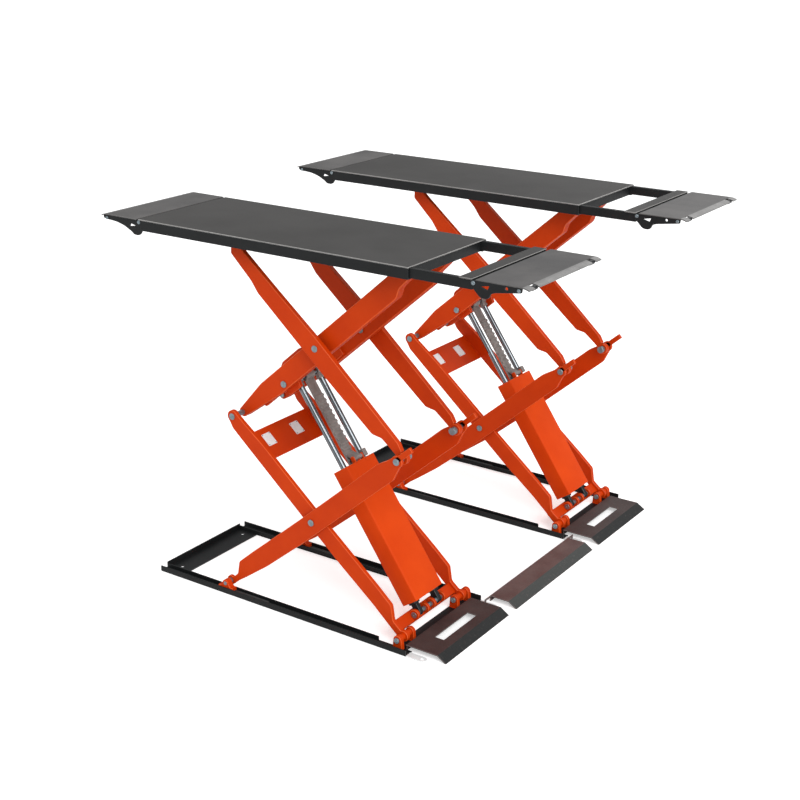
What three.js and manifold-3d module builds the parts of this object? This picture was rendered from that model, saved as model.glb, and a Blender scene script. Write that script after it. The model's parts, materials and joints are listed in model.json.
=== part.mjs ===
// Double-scissor car lift: two identical units side by side, shown fully raised.
// Millimetres, +Z up, origin on the floor at the middle of the lift's box.
// In each unit x = 0 is the fixed pivot line and the sliding feet lie towards -X.
import * as THREE from "three";
import { mergeVertices } from "three/addons/utils/BufferGeometryUtils.js";
import Module from "manifold-3d";

// Main sizes
const unitPitch = 1500;
const lowerHalf = 671;
const upperHalf = 634;
const raisedAngle = 41.2;
const pivotHeight = 50;
const topPinRise = 15;
const deckAbovePin = 47;
const deckWidth = 620;
const deckBehindPin = 1435;
const deckAheadOfPin = 87;
const exitHingeAheadOfPin = 400.7;
const exitFlapLength = 256;
const entryFlapLength = 237.3;

// Fits
const seatGap = 0.3;
const boreGap = 0.3;
const laneGap = 3;
const overrun = 4;
const roundSides = 10;
const smallSides = 8;
const smallRadius = 9.5;

// Lanes of the arms, measured outwards from each unit's middle plane
const liftArmInner = 125;
const liftArmWidth = 50;
const knuckleSpacerWidth = 28;
const topArmWidth = 26;
const baseArmWidth = 22;
const slideArmWidth = 16;
const armDepth = 100;
const liftArmOuter = liftArmInner + liftArmWidth;
const topArmInner = liftArmOuter + knuckleSpacerWidth;
const topArmOuter = topArmInner + topArmWidth;
const baseArmInner = topArmOuter + laneGap;
const baseArmOuter = baseArmInner + baseArmWidth;
const slideArmInner = baseArmOuter + laneGap;
const slideArmOuter = slideArmInner + slideArmWidth;

// Pins
const pinRadius = 10;
const pinHeadRadius = 16;
const pinHeadWidth = 6;
const thinHeadWidth = 2.4;
const knuckleHeadWidth = 4.3;
const spacerRadius = 13;
const washerRadius = 15;
const innerHeadRadius = 14;
const innerHeadWidth = 8.7;
const knuckleBossRadius = 18;
const knuckleBossWidth = 26.2;

// Base arms: along-the-arm shares of their length, across shares of armDepth
const baseRootLobe = 27;
const baseKnuckleLobe = 30;
const baseArmOutlineShares = [
  [0.046, -0.27], [0.153, -0.26], [0.345, -0.37], [0.92, -0.44], [0.969, -0.44], [1, -0.3],
  [1, 0.28], [0.958, 0.3], [0.843, 0.4], [0.514, 0.46], [0.192, 0.58], [0.107, 0.58],
  [0.061, 0.08], [0.018, 0.1], [0, 0.1], [0, -0.27],
];
const sleeveRadius = 16;
const sleeveInner = 200;
const beamStart = 25;
const beamEnd = 82;
const beamBottom = -44;
const beamTop = -6;
const lugAlong = 48;
const lugAcross = 12;
const lugRadius = 26;
const lugThickness = 16;
const outerLugOuter = 120;
const centreLugOuter = 36;
const stiffenerStart = 1040;
const stiffenerEnd = 1205;
const stiffenerBottom = -46;
const stiffenerThickness = 6;

// Slide arms
const slideRootLobe = 24;
const slideKnuckleLobe = 28;
const slideArmOutlineShares = [
  [0.031, -0.24], [0.086, -0.33], [0.199, -0.47], [0.398, -0.55], [0.943, -0.57],
  [0.977, -0.38], [1, -0.26], [1, 0.26], [0.973, 0.28], [0.92, 0.42], [0.732, 0.42],
  [0.472, 0.43], [0.352, 0.45], [0.182, 0.5], [0.09, 0.5], [0.048, 0.06], [0.017, 0.06],
  [0, 0.06], [0, -0.24],
];
const nubLength = 103;
const nubBottom = -8;
const nubTop = 18;

// Lift arms, the hollow upper arms
const liftRootLobe = 24;
const liftTipLobe = 26;
const liftArmOutlineShares = [
  [0, -0.24], [0.118, -0.38], [0.205, -0.5], [0.887, -0.5], [0.919, -0.25], [0.974, -0.2],
  [1, -0.1], [1, 0.38], [0.966, 0.5], [0.15, 0.5], [0.103, 0.42], [0, 0.24],
];
const liftArmWall = 8;
const cavityStart = 270;
const cavityEnd = 1100;
const ventRadius = 8;
const ventInset = 120;
const rodPinAlong = 316;
const rodPinAcross = -24;
const bracketInner = 108;
const bracketReach = 380;
const bracketOutlineShares = [
  [0.263, -0.42], [0.69, -0.42], [0.714, -0.7], [0.74, -0.75], [0.93, -0.75], [0.955, -0.42],
  [1.26, -0.38], [1.26, 0.6], [1.24, 0.71], [0.89, 0.71], [0.84, 0.6], [0.8, 0.44],
  [0.263, 0.3],
];
const tieStart = 110;
const tieEnd = 180;
const tieHalfDepth = 20;

// Top slide arms
const topRootLobe = 28;
const topTipLobe = 25;
const topArmOutlineShares = [
  [0.039, -0.16], [0.103, -0.2], [0.138, -0.48], [0.394, -0.56], [0.797, -0.57],
  [0.848, -0.42], [0.974, -0.34], [0.986, -0.11], [1, 0], [0.988, 0.3], [0.928, 0.28],
  [0.834, 0.3], [0.737, 0.33], [0.528, 0.42], [0.237, 0.38], [0.047, 0.34], [0.02, 0.2],
  [0, 0.2], [0, -0.16],
];
const topAxleRadius = 11;
const topAxleHeadRadius = 15;

// Floor frame
const railPlate = 6;
const railBack = 1430;
const railFront = 66;
const railWebHeight = 30;
const railWebThickness = 6;
const guideThickness = 6;
const guideHeight = 25;
const guideBack = 1424;
const guideFront = 116;
const shoeSideGap = 4;
const channelDepth = 126;
const channelUpstand = 34;
const channelHoleRadius = 9;
const channelHoleSpread = 235;
const channelHoleInset = 61;
const earReach = 78;
const earHalfWidth = 20;
const earHoleRadius = 9;
const footBarBack = 28;
const footBarFront = 34;
const cheekRadius = 22;
const cheekFootHalf = 26;
const outerCheekWidth = 24;
const innerCheekWidth = 20;
const baseHeadRadius = 14;
const baseHeadWidth = 8;

// Foot shoes
const shoeWidth = 32;
const shoeLength = 90;
const shoeBlockHeight = 26;
const shoeLobe = 18;
const shoeWebHalf = 30;
const stripLength = 210;
const stripHeight = 10;
const stripWidth = 24;

// Covers on the floor
const coverHeight = 30;
const coverSheet = 5;
const coverCrest = 205;
const coverToe = 252;
const coverHalfWidth = 280;
const coverSlotStart = 103;
const coverSlotEnd = 151;
const coverSlotHalf = 142;
const midCoverStart = 101;
const midCoverEndGap = 70;
const hookReach = 52;
const hookDepth = 10;
const hookFoot = 12;

// Cylinder pack, measured from the lower cylinder pin
const cylinderOffset = 78;
const coverHalfBreadth = 110;
const coverHalfDepth = 47.5;
const coverWall = 4;
const coverStart = 55;
const coverEnd = 755;
const barrelStart = 44;
const barrelEnd = 740;
const rodRadius = 15;
const barrelBoreStart = 70;
const rodFoot = 500;
const eyeRadius = 17;
const eyeHalfWidth = 12;
const crossPinRadius = 12;
const crossPinHeadRadius = 15;
const crossPinHeadWidth = 3.5;
const headAxleRadius = 16;
const rackHalfWidth = 30;
const rackBack = 6;
const rackFront = 4;
const toothDepth = 6;
const toothPitch = 28;
const rackFoot = 600;
const rackEyeRadius = 25;
const rackEyeClear = 60;
const pawlAlong = 772;
const pawlAcross = 36;
const pawlTubeRadius = 7;
const pawlHubRadius = 11;
const pawlNoseReach = 20;
const pawlNoseGap = 0.6;
const pawlNoseWidth = 12;
const pawlArmInner = 42;
const pawlArmOuter = 68;
const pawlArmLength = 37;
const pawlArmDrop = 12;
const pawlArmRise = 14;
const earThickness = 6;
const earLength = 50;
const earDrop = 22;
const earPastPawl = 13;

// Platform
const deckPlate = 5;
const skirtDepth = 53;
const skirtThickness = 6;
const flangeReach = 30;
const flangeThickness = 5;
const flangeSetback = 80;
const skirtSetback = 13;
const hingeDrop = 16;
const hingeTubeRadius = 10;
const hingePinRadius = 6;
const hingeHeadRadius = 9;
const hingeHeadWidth = 3;
const hingePinReach = 44;
const hingeLineHalf = 2;
const flapCheekThickness = 6.5;
const memberWidth = 28;
const memberDepth = 36;
const memberSetback = 57;
const frontMemberSetback = 10;
const trackThickness = 8;
const trackDepth = 8;
const trackStart = 1320;
const trackEnd = 890;
const topShoeWidth = 24;
const topShoeSideGap = 0.5;
const topShoeHalf = 30;
const topShoeLobe = 20;
const deckCheekThickness = 10;
const deckCheekGap = 2;
const deckCheekRadius = 20;
const deckCheekHalf = 30;
const deckPinHeadWidth = 5;

// Sliding extension and flaps
const extensionRailBack = 310;
const extensionRailWidth = 26;
const extensionSideGap = 2;
const extensionRailWall = 3;
const extensionPlateWidth = 68;
const hingeWebThickness = 5;
const flapTipDrop = 8;
const flapTipBend = 20;
const notchDepth = 34;
const notchWidth = 34;
const notchSetback = 48;
const tipRollerRadius = 11;
const tipRollerInset = 18;
const tipRollerDrop = 12;
const tipRollerGap = 3;
const tipRollerAxle = 4;
const tipEarThickness = 4;
const tipEarHalf = 10;
const tipEarDrop = 8;
const cheekHoleRadius = 6;
const tipPinRadius = 8;
const tipPinWidth = 2.5;
// Flap cheek outlines: along shares of the flap's length, down shares of cheekDepth
const cheekDepth = 80;
const exitCheekOutlineShares = [
  [-0.055, -0.22], [0, -0.1], [0.02, -0.04], [0.88, -0.04], [0.87, -0.3], [0.4, -0.52],
  [0.32, -0.62], [0.3, -0.82], [0.25, -0.92], [0.16, -0.92], [0.11, -0.85], [-0.03, -0.4],
];
const exitCutShares = [[0.13, -0.32], [0.29, -0.22], [0.26, -0.44]];
const exitHoleShares = [0.6, -0.2];
const exitPinShares = [0.82, -0.2];
const entryCheekOutlineShares = [
  [-0.08, -0.22], [0, -0.1], [0.02, -0.04], [0.9, -0.04], [0.97, -0.12], [0.96, -0.28],
  [0.9, -0.34], [0.76, -0.36], [0.6, -0.4], [0.4, -0.55], [0.2, -0.84], [0.15, -0.98],
  [0.03, -1], [-0.04, -0.9], [-0.08, -0.7],
];
const entryCutShares = [[0.09, -0.44], [0.22, -0.34], [0.25, -0.52]];
const entryPinShares = [0.87, -0.26];

// Worked-out places
const rise = THREE.MathUtils.degToRad(raisedAngle);
const baseArmLength = lowerHalf + upperHalf;
const topArmLength = upperHalf + upperHalf;
const cosRise = Math.cos(rise);
const sinRise = Math.sin(rise);
const footX = -(lowerHalf + lowerHalf) * cosRise;
const kneeHeight = pivotHeight + baseArmLength * sinRise;
const leftKnee = new THREE.Vector2(-baseArmLength * cosRise, kneeHeight);
const rightKnee = new THREE.Vector2(footX + baseArmLength * cosRise, kneeHeight);
const leftLean = new THREE.Vector2(-cosRise, sinRise);
const leftAcross = new THREE.Vector2(sinRise, cosRise);
const rightLean = new THREE.Vector2(cosRise, sinRise);
const rightAcross = new THREE.Vector2(-sinRise, cosRise);
const basePivot = new THREE.Vector2(0, pivotHeight);

function placeOn(start, lean, across, along, up) {
  return start.clone().addScaledVector(lean, along).addScaledVector(across, up);
}

const liftTop = placeOn(leftKnee, rightLean, rightAcross, topArmLength, topPinRise);
const slideTop = placeOn(rightKnee, leftLean, leftAcross, topArmLength, topPinRise);
const cylinderFoot = placeOn(basePivot, leftLean, leftAcross, lugAlong, lugAcross);
const rodHead = placeOn(leftKnee, rightLean, rightAcross, rodPinAlong, rodPinAcross);
const cylinderLength = cylinderFoot.distanceTo(rodHead);
const cylinderTilt = Math.atan2(rodHead.y - cylinderFoot.y, cylinderFoot.x - rodHead.x);
const railOuter = slideArmOuter + laneGap + guideThickness + shoeSideGap + shoeWidth
  + shoeSideGap + railWebThickness;
const railInner = slideArmOuter + laneGap;
const flatShare = Math.cos(Math.PI / roundSides);
const shoeInner = railInner + guideThickness + shoeSideGap;
const shoeOuter = shoeInner + shoeWidth;
const deckHalf = deckWidth / 2;
const extensionRailOuter = deckHalf - skirtThickness - extensionSideGap;
const extensionRailInner = extensionRailOuter - extensionRailWidth;
const notchOuter = deckHalf - notchSetback;
const notchInner = notchOuter - notchWidth;
const deckUnderside = deckAbovePin - deckPlate;
const deckSeat = deckUnderside - seatGap;
const flangeTop = deckAbovePin - skirtDepth + flangeThickness;
const exitTip = liftTop.x + exitHingeAheadOfPin + exitFlapLength;
const entryTip = liftTop.x - deckBehindPin - entryFlapLength;

// Colours seen in the photograph
const orangePaint = { color: 0xd0451b, roughness: 0.45, metalness: 0.1 };
const deckPaint = { color: 0x55575a, roughness: 0.6, metalness: 0.2 };
const darkPaint = { color: 0x2a2c2c, roughness: 0.55, metalness: 0.2 };
const brownPaint = { color: 0x2e2420, roughness: 0.6, metalness: 0.2 };
const pinSteel = { color: 0x7f8f95, roughness: 0.35, metalness: 0.9 };
const chromeSteel = { color: 0xc8ccd0, roughness: 0.15, metalness: 1 };
const blackSteel = { color: 0x1c1d1e, roughness: 0.5, metalness: 0.5 };

// Solids
const wasm = await Module();
wasm.setup();

function toSolid(geometry) {
  const bare = geometry.index ? geometry.clone() : geometry;
  bare.deleteAttribute("normal");
  bare.deleteAttribute("uv");
  const merged = mergeVertices(bare);
  return new wasm.Manifold(new wasm.Mesh({
    numProp: 3,
    vertProperties: new Float32Array(merged.attributes.position.array),
    triVerts: new Uint32Array(merged.index.array),
  }));
}

function toGeometry(solid) {
  const mesh = solid.getMesh();
  const geometry = new THREE.BufferGeometry();
  geometry.setAttribute("position", new THREE.BufferAttribute(mesh.vertProperties, 3));
  geometry.setIndex(new THREE.BufferAttribute(mesh.triVerts, 1));
  geometry.computeVertexNormals();
  return geometry;
}

function union(solids) {
  return solids.reduce((whole, solid) => whole.add(solid));
}

function block(x0, x1, y0, y1, z0, z1) {
  const geometry = new THREE.BoxGeometry(Math.abs(x1 - x0), Math.abs(y1 - y0), Math.abs(z1 - z0));
  geometry.translate((x0 + x1) / 2, (y0 + y1) / 2, (z0 + z1) / 2);
  return toSolid(geometry);
}

// A flat plate with its outline in x and z, between two places across the lift
function plate(points, y0, y1) {
  const shape = new THREE.Shape(points.map(([x, z]) => new THREE.Vector2(x, z)));
  const thickness = Math.abs(y1 - y0);
  const geometry = new THREE.ExtrudeGeometry(shape, { depth: thickness, bevelEnabled: false });
  geometry.rotateX(Math.PI / 2);
  geometry.translate(0, Math.max(y0, y1), 0);
  return toSolid(geometry);
}

function sidesOf(radius) {
  return radius < smallRadius ? smallSides : roundSides;
}

// A round bar across the lift
function bar(x, z, radius, y0, y1) {
  const geometry = new THREE.CylinderGeometry(radius, radius, Math.abs(y1 - y0),
    sidesOf(radius));
  geometry.translate(x, (y0 + y1) / 2, z);
  return toSolid(geometry);
}

// A round bar along x
function lengthwiseBar(x0, x1, y, z, radius) {
  const geometry = new THREE.CylinderGeometry(radius, radius, Math.abs(x1 - x0),
    sidesOf(radius));
  geometry.rotateZ(Math.PI / 2);
  geometry.translate((x0 + x1) / 2, y, z);
  return toSolid(geometry);
}

function uprightBar(x, y, z0, z1, radius) {
  const geometry = new THREE.CylinderGeometry(radius, radius, Math.abs(z1 - z0),
    sidesOf(radius));
  geometry.rotateX(Math.PI / 2);
  geometry.translate(x, y, (z0 + z1) / 2);
  return toSolid(geometry);
}

// A hole across the lift whose flats clear a pin that turns in it
function bore(x, z, radius, y0, y1) {
  const low = Math.min(y0, y1) - overrun;
  const high = Math.max(y0, y1) + overrun;
  return bar(x, z, radius / Math.cos(Math.PI / sidesOf(radius)), low, high);
}

// The same piece on both sides of a unit's middle plane
function onBothSides(make) {
  return union([make(1), make(-1)]);
}

function scaled(shares, along, across, lean = 1) {
  const points = shares.map(([s, h]) => [lean * s * along, h * across]);
  return lean > 0 ? points : points.reverse();
}

function addPiece(group, name, solid, finish) {
  const mesh = new THREE.Mesh(toGeometry(solid), new THREE.MeshStandardMaterial(finish));
  mesh.name = name;
  group.add(mesh);
}

function frameAt(parent, place, turn) {
  const frame = new THREE.Group();
  frame.position.set(place.x, 0, place.y);
  frame.rotation.y = turn;
  parent.add(frame);
  return frame;
}

// Floor frame
function sideRail(side) {
  const earMiddle = side * (railOuter - earHalfWidth);
  const earEnd = railFront + earReach;
  const ear = union([
    block(0, earEnd, earMiddle - earHalfWidth, earMiddle + earHalfWidth, 0, railPlate),
    uprightBar(earEnd, earMiddle, 0, railPlate, earHalfWidth),
  ]);
  const earHole = uprightBar(earEnd, earMiddle, -overrun, railPlate + overrun, earHoleRadius);
  return union([
    block(-railBack, railFront, side * railInner, side * railOuter, 0, railPlate),
    block(-railBack, railFront, side * (railOuter - railWebThickness), side * railOuter,
      0, railWebHeight),
    block(-guideBack, -guideFront, side * railInner, side * (railInner + guideThickness),
      0, guideHeight),
    ear.subtract(earHole),
  ]);
}

function crossMembers() {
  const half = railInner + guideThickness;
  const footBar = block(-footBarBack, footBarFront, -half, half, 0, railPlate);
  const channel = union([
    block(-railBack, -railBack + channelDepth, -half, half, 0, railPlate),
    block(-railBack, -railBack + railWebThickness, -half, half, 0, channelUpstand),
  ]);
  const holes = onBothSides((side) => uprightBar(-railBack + channelHoleInset,
    side * channelHoleSpread, -overrun, railPlate + overrun, channelHoleRadius));
  return union([footBar, channel.subtract(holes)]);
}

function pivotCheek(y0, y1) {
  const outline = [
    [-cheekFootHalf, 0], [cheekFootHalf, 0], [cheekRadius, pivotHeight],
    [-cheekRadius, pivotHeight],
  ];
  return plate(outline, y0, y1)
    .add(bar(0, pivotHeight, cheekRadius, y0, y1))
    .subtract(bore(0, pivotHeight, pinRadius + boreGap, y0, y1));
}

const outerCheekStart = railInner + seatGap;
const outerCheekEnd = railInner + outerCheekWidth;
const innerCheekEnd = sleeveInner - seatGap;
const innerCheekStart = innerCheekEnd - innerCheekWidth;

function floorFrame() {
  const sides = onBothSides((side) => union([
    sideRail(side),
    pivotCheek(side * outerCheekStart, side * outerCheekEnd),
    pivotCheek(side * innerCheekStart, side * innerCheekEnd),
  ]));
  return sides.add(crossMembers());
}

function basePin(side) {
  const headStart = outerCheekEnd + seatGap;
  const tailEnd = innerCheekStart - seatGap;
  return union([
    bar(0, pivotHeight, pinRadius, side * tailEnd, side * headStart),
    bar(0, pivotHeight, baseHeadRadius, side * headStart, side * (headStart + baseHeadWidth)),
    bar(0, pivotHeight, baseHeadRadius, side * (tailEnd - baseHeadWidth), side * tailEnd),
  ]);
}

// Bent sheet: a standing lip, a flat top and a slope down to the floor
function coverSheetSolid(start, y0, y1, lipInset) {
  const run = coverToe - coverCrest;
  const slopeOffset = coverSheet * Math.hypot(run, coverHeight) / coverHeight;
  const inside = coverHeight - coverSheet;
  const outline = [
    [start, coverHeight], [coverCrest, coverHeight], [coverToe, 0], [coverToe - slopeOffset, 0],
    [coverToe - slopeOffset - inside * run / coverHeight, inside], [start, inside],
  ];
  const low = Math.min(y0, y1) + lipInset;
  const high = Math.max(y0, y1) - lipInset;
  const lip = block(start, start + coverSheet, low, high, 0, inside + coverSheet / 2);
  return plate(outline.reverse(), y0, y1).add(lip);
}

function rampCover() {
  const lipInset = coverHalfWidth - railInner + seatGap;
  const sheet = coverSheetSolid(footBarFront + seatGap, -coverHalfWidth, coverHalfWidth, lipInset);
  const slot = block(coverSlotStart, coverSlotEnd, -coverSlotHalf, coverSlotHalf,
    coverHeight - coverSheet - overrun, coverHeight + overrun);
  return sheet.subtract(slot);
}

// The cover between the two units, hooked over the ears of both floor frames
function midCover() {
  const half = unitPitch / 2 - coverHalfWidth - midCoverEndGap;
  const end = half + hookReach;
  const front = midCoverStart + coverSheet;
  const hooks = onBothSides((side) => union([
    block(midCoverStart, front, side * (half - coverSheet), side * end,
      coverHeight - hookDepth, coverHeight),
    block(midCoverStart, front, side * (end - hookFoot), side * end, railPlate + seatGap,
      coverHeight),
  ]));
  return coverSheetSolid(midCoverStart, -half, half, 0).add(hooks);
}

// Arms that turn on the base pins, with the lug beam and the stiffener welded between them
function baseArmPair() {
  const lean = -1;
  const outline = scaled(baseArmOutlineShares, baseArmLength, armDepth, lean);
  return onBothSides((side) => {
    const y0 = side * baseArmInner;
    const y1 = side * baseArmOuter;
    const sleeve = bar(0, 0, sleeveRadius, side * sleeveInner, side * railInner);
    const body = union([
      plate(outline, y0, y1),
      bar(0, 0, baseRootLobe, y0, y1),
      bar(-baseArmLength, 0, baseKnuckleLobe, y0, y1),
      sleeve,
    ]);
    const bores = union([
      bore(0, 0, pinRadius + boreGap, side * sleeveInner, side * railInner),
      bore(-lowerHalf, 0, pinRadius + boreGap, y0, y1),
      bore(-baseArmLength, 0, pinRadius + boreGap, y0, y1),
    ]);
    return body.subtract(bores);
  });
}

function lug(y0, y1) {
  const outline = [
    [-lugAlong - lugRadius, lugAcross], [-lugAlong - lugRadius, beamTop - overrun],
    [-lugAlong + lugRadius / 2, beamTop - overrun], [-lugAlong + lugRadius, lugAcross],
  ];
  return plate(outline, y0, y1).add(bar(-lugAlong, lugAcross, lugRadius, y0, y1));
}

function lugBeam() {
  const half = baseArmInner + laneGap;
  const beam = block(-beamStart, -beamEnd, -half, half, beamBottom, beamTop);
  const lugs = onBothSides((side) => union([
    lug(side * (outerLugOuter - lugThickness), side * outerLugOuter),
    lug(side * (centreLugOuter - lugThickness), side * centreLugOuter),
  ]));
  const hole = bore(-lugAlong, lugAcross, crossPinRadius + boreGap, -outerLugOuter, outerLugOuter);
  return beam.add(lugs).subtract(hole);
}

function baseArms() {
  const half = baseArmInner + laneGap;
  const stiffener = block(-stiffenerStart, -stiffenerEnd, -half, half, stiffenerBottom,
    stiffenerBottom + stiffenerThickness);
  return union([baseArmPair(), lugBeam(), stiffener]);
}

// Arms whose feet slide, each with its centre pin welded in
function slideArm(side) {
  const nubOutline = [
    [baseArmLength, nubBottom], [baseArmLength + nubLength, nubBottom],
    [baseArmLength + nubLength, nubTop], [baseArmLength, nubTop],
  ];
  const across = (x, radius, y0, y1) => bar(x, 0, radius, side * y0, side * y1);
  const y0 = side * slideArmInner;
  const y1 = side * slideArmOuter;
  const bores = union([0, baseArmLength].map((along) => bore(along, 0, pinRadius + boreGap,
    y0, y1)));
  const arm = union([
    plate(scaled(slideArmOutlineShares, baseArmLength, armDepth), y0, y1),
    plate(nubOutline, y0, y1),
    bar(0, 0, slideRootLobe, y0, y1),
    bar(baseArmLength, 0, slideKnuckleLobe, y0, y1),
  ]).subtract(bores);
  const stub = union([
    across(lowerHalf, pinRadius, topArmOuter + thinHeadWidth, slideArmOuter),
    across(lowerHalf, pinHeadRadius, slideArmOuter, slideArmOuter + pinHeadWidth),
    across(lowerHalf, washerRadius, baseArmOuter + seatGap, slideArmInner),
  ]);
  return arm.add(stub);
}

function rightKnucklePin(side) {
  const faceOut = slideArmOuter + seatGap;
  const bossOut = topArmInner - seatGap;
  const across = (radius, y0, y1) => bar(0, 0, radius, side * y0, side * y1);
  return union([
    across(pinRadius, bossOut, faceOut),
    across(pinHeadRadius, faceOut, faceOut + pinHeadWidth),
    across(spacerRadius, topArmOuter + seatGap, slideArmInner - seatGap),
    across(knuckleBossRadius, bossOut - knuckleBossWidth, bossOut),
  ]);
}

function footShoe(side) {
  const bottom = railPlate + seatGap - pivotHeight;
  const blockTop = bottom + shoeBlockHeight;
  const half = shoeLength / 2;
  const middle = (shoeInner + shoeOuter) / 2;
  const outline = [
    [-half, bottom], [half, bottom], [half, blockTop], [shoeWebHalf, blockTop], [shoeLobe, 0],
    [-shoeLobe, 0], [-shoeWebHalf, blockTop], [-half, blockTop],
  ];
  return union([
    plate(outline, side * shoeInner, side * shoeOuter),
    bar(0, 0, shoeLobe, side * shoeInner, side * shoeOuter),
    block(0, half + stripLength, side * (middle - stripWidth / 2),
      side * (middle + stripWidth / 2), bottom, bottom + stripHeight),
    bar(0, 0, pinRadius, side * slideArmInner, side * (shoeOuter + shoeSideGap / 2)),
    bar(0, 0, innerHeadRadius, side * (slideArmOuter + seatGap), side * shoeInner),
  ]);
}

// Hollow upper arms pushed by the cylinders, with their centre pins and rod bracket welded on
function liftArmPair() {
  const outline = scaled(liftArmOutlineShares, topArmLength, armDepth);
  const cavityHalf = armDepth / 2 - liftArmWall;
  return onBothSides((side) => {
    const y0 = side * liftArmInner;
    const y1 = side * liftArmOuter;
    const body = union([
      plate(outline, y0, y1),
      bar(0, 0, liftRootLobe, y0, y1),
      bar(topArmLength, topPinRise, liftTipLobe, y0, y1),
    ]);
    const middle = (y0 + y1) / 2;
    const cuts = union([
      block(cavityStart, cavityEnd, side * (liftArmInner + liftArmWall),
        side * (liftArmOuter - liftArmWall), -cavityHalf, cavityHalf),
      uprightBar(cavityStart + ventInset, middle, -armDepth, 0, ventRadius),
      uprightBar(cavityEnd - ventInset, middle, -armDepth, 0, ventRadius),
      bore(0, 0, pinRadius + boreGap, y0, y1),
      bore(topArmLength, topPinRise, pinRadius + boreGap, y0, y1),
    ]);
    return body.subtract(cuts);
  });
}

function liftBracket() {
  const outline = scaled(bracketOutlineShares, bracketReach, armDepth);
  const plates = onBothSides((side) => plate(outline, side * bracketInner,
    side * (liftArmInner + liftArmWall / 2)));
  const tie = block(tieStart, tieEnd, -liftArmInner, liftArmInner, -tieHalfDepth, tieHalfDepth);
  return plates.add(tie);
}

function liftArms() {
  const midFace = topArmOuter + seatGap;
  const stubs = onBothSides((side) => {
    const across = (x, z, radius, y0, y1) => bar(x, z, radius, side * y0, side * y1);
    return union([
      across(upperHalf, 0, pinRadius, liftArmInner, midFace),
      across(upperHalf, 0, pinHeadRadius, midFace, midFace + thinHeadWidth),
      across(upperHalf, 0, innerHeadRadius, liftArmOuter, topArmInner - seatGap),
      across(upperHalf, 0, innerHeadRadius, liftArmInner - innerHeadWidth, liftArmInner),
      across(rodPinAlong, rodPinAcross, pinRadius, bracketInner, liftArmOuter),
      across(rodPinAlong, rodPinAcross, pinHeadRadius, liftArmOuter, liftArmOuter + pinHeadWidth),
    ]);
  });
  return union([liftArmPair(), liftBracket(), stubs]);
}

function leftKnucklePin(side) {
  const innerFace = liftArmInner - seatGap;
  const kneeFace = baseArmOuter + seatGap;
  const across = (radius, y0, y1) => bar(0, 0, radius, side * y0, side * y1);
  return union([
    across(pinRadius, innerFace, kneeFace),
    across(pinHeadRadius, kneeFace, kneeFace + knuckleHeadWidth),
    across(spacerRadius, liftArmOuter + seatGap, baseArmInner - seatGap),
    across(innerHeadRadius, innerFace - innerHeadWidth, innerFace),
  ]);
}

// Upper arms whose tops slide under the deck, welded to one axle
function topArms() {
  const lean = -1;
  const outline = scaled(topArmOutlineShares, topArmLength, armDepth, lean);
  const pair = onBothSides((side) => {
    const y0 = side * topArmInner;
    const y1 = side * topArmOuter;
    const body = union([
      plate(outline, y0, y1),
      bar(0, 0, topRootLobe, y0, y1),
      bar(-topArmLength, topPinRise, topTipLobe, y0, y1),
      bar(-topArmLength, topPinRise, topAxleHeadRadius, y0, y1 + side * thinHeadWidth),
    ]);
    const bores = union([
      bore(0, 0, pinRadius + boreGap, y0, y1),
      bore(-upperHalf, 0, pinRadius + boreGap, y0, y1),
    ]);
    return body.subtract(bores);
  });
  return pair.add(bar(-topArmLength, topPinRise, topAxleRadius, -topArmInner, topArmInner));
}

const topShoeOuter = topArmInner - deckCheekGap;
const topShoeInner = topShoeOuter - topShoeWidth;

function topShoe(side) {
  const outline = [
    [-topShoeLobe, 0], [topShoeLobe, 0], [topShoeHalf, topShoeLobe], [topShoeHalf, deckSeat],
    [-topShoeHalf, deckSeat], [-topShoeHalf, topShoeLobe],
  ];
  const y0 = side * topShoeInner;
  const y1 = side * topShoeOuter;
  return plate(outline, y0, y1)
    .add(bar(0, 0, topShoeLobe, y0, y1))
    .subtract(bore(0, 0, topAxleRadius + boreGap, y0, y1));
}

// Cylinder pack
function cylinderCover() {
  const inner = coverHalfBreadth - coverWall;
  const tube = block(-coverStart, -coverEnd, -coverHalfBreadth, coverHalfBreadth,
    -coverHalfDepth, coverHalfDepth)
    .subtract(block(-coverStart + overrun, -coverEnd - overrun, -inner, inner,
      coverWall - coverHalfDepth, coverHalfDepth - coverWall));
  const earInner = rackHalfWidth;
  const earEnd = pawlAlong + earPastPawl;
  const ears = onBothSides((side) => block(-(earEnd - earLength), -earEnd, side * earInner,
    side * (earInner + earThickness), coverHalfDepth - earDrop, coverHalfDepth));
  const pawlBore = bore(-pawlAlong, pawlAcross, pawlTubeRadius + boreGap,
    -earInner - earThickness, earInner + earThickness);
  return tube.add(ears).subtract(pawlBore);
}

function cylinderBarrels() {
  const barrelRadius = (coverHalfBreadth - coverWall - cylinderOffset - seatGap) / flatShare;
  const neckHalf = eyeRadius - seatGap;
  const barrels = onBothSides((side) => {
    const y = side * cylinderOffset;
    const low = y - eyeHalfWidth;
    const high = y + eyeHalfWidth;
    const body = union([
      lengthwiseBar(-barrelStart, -barrelEnd, y, 0, barrelRadius),
      block(0, -barrelBoreStart + overrun, low, high, -neckHalf, neckHalf),
      bar(0, 0, eyeRadius, low, high),
    ]);
    return body.subtract(lengthwiseBar(-barrelBoreStart, -barrelEnd - overrun, y, 0,
      rodRadius + boreGap));
  });
  const pinHalf = outerLugOuter + seatGap;
  const pin = bar(0, 0, crossPinRadius, -pinHalf, pinHalf);
  const heads = onBothSides((side) => bar(0, 0, crossPinHeadRadius, side * pinHalf,
    side * (pinHalf + crossPinHeadWidth)));
  return union([barrels, pin, heads]);
}

const toothTop = rackFront + toothDepth;

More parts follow.
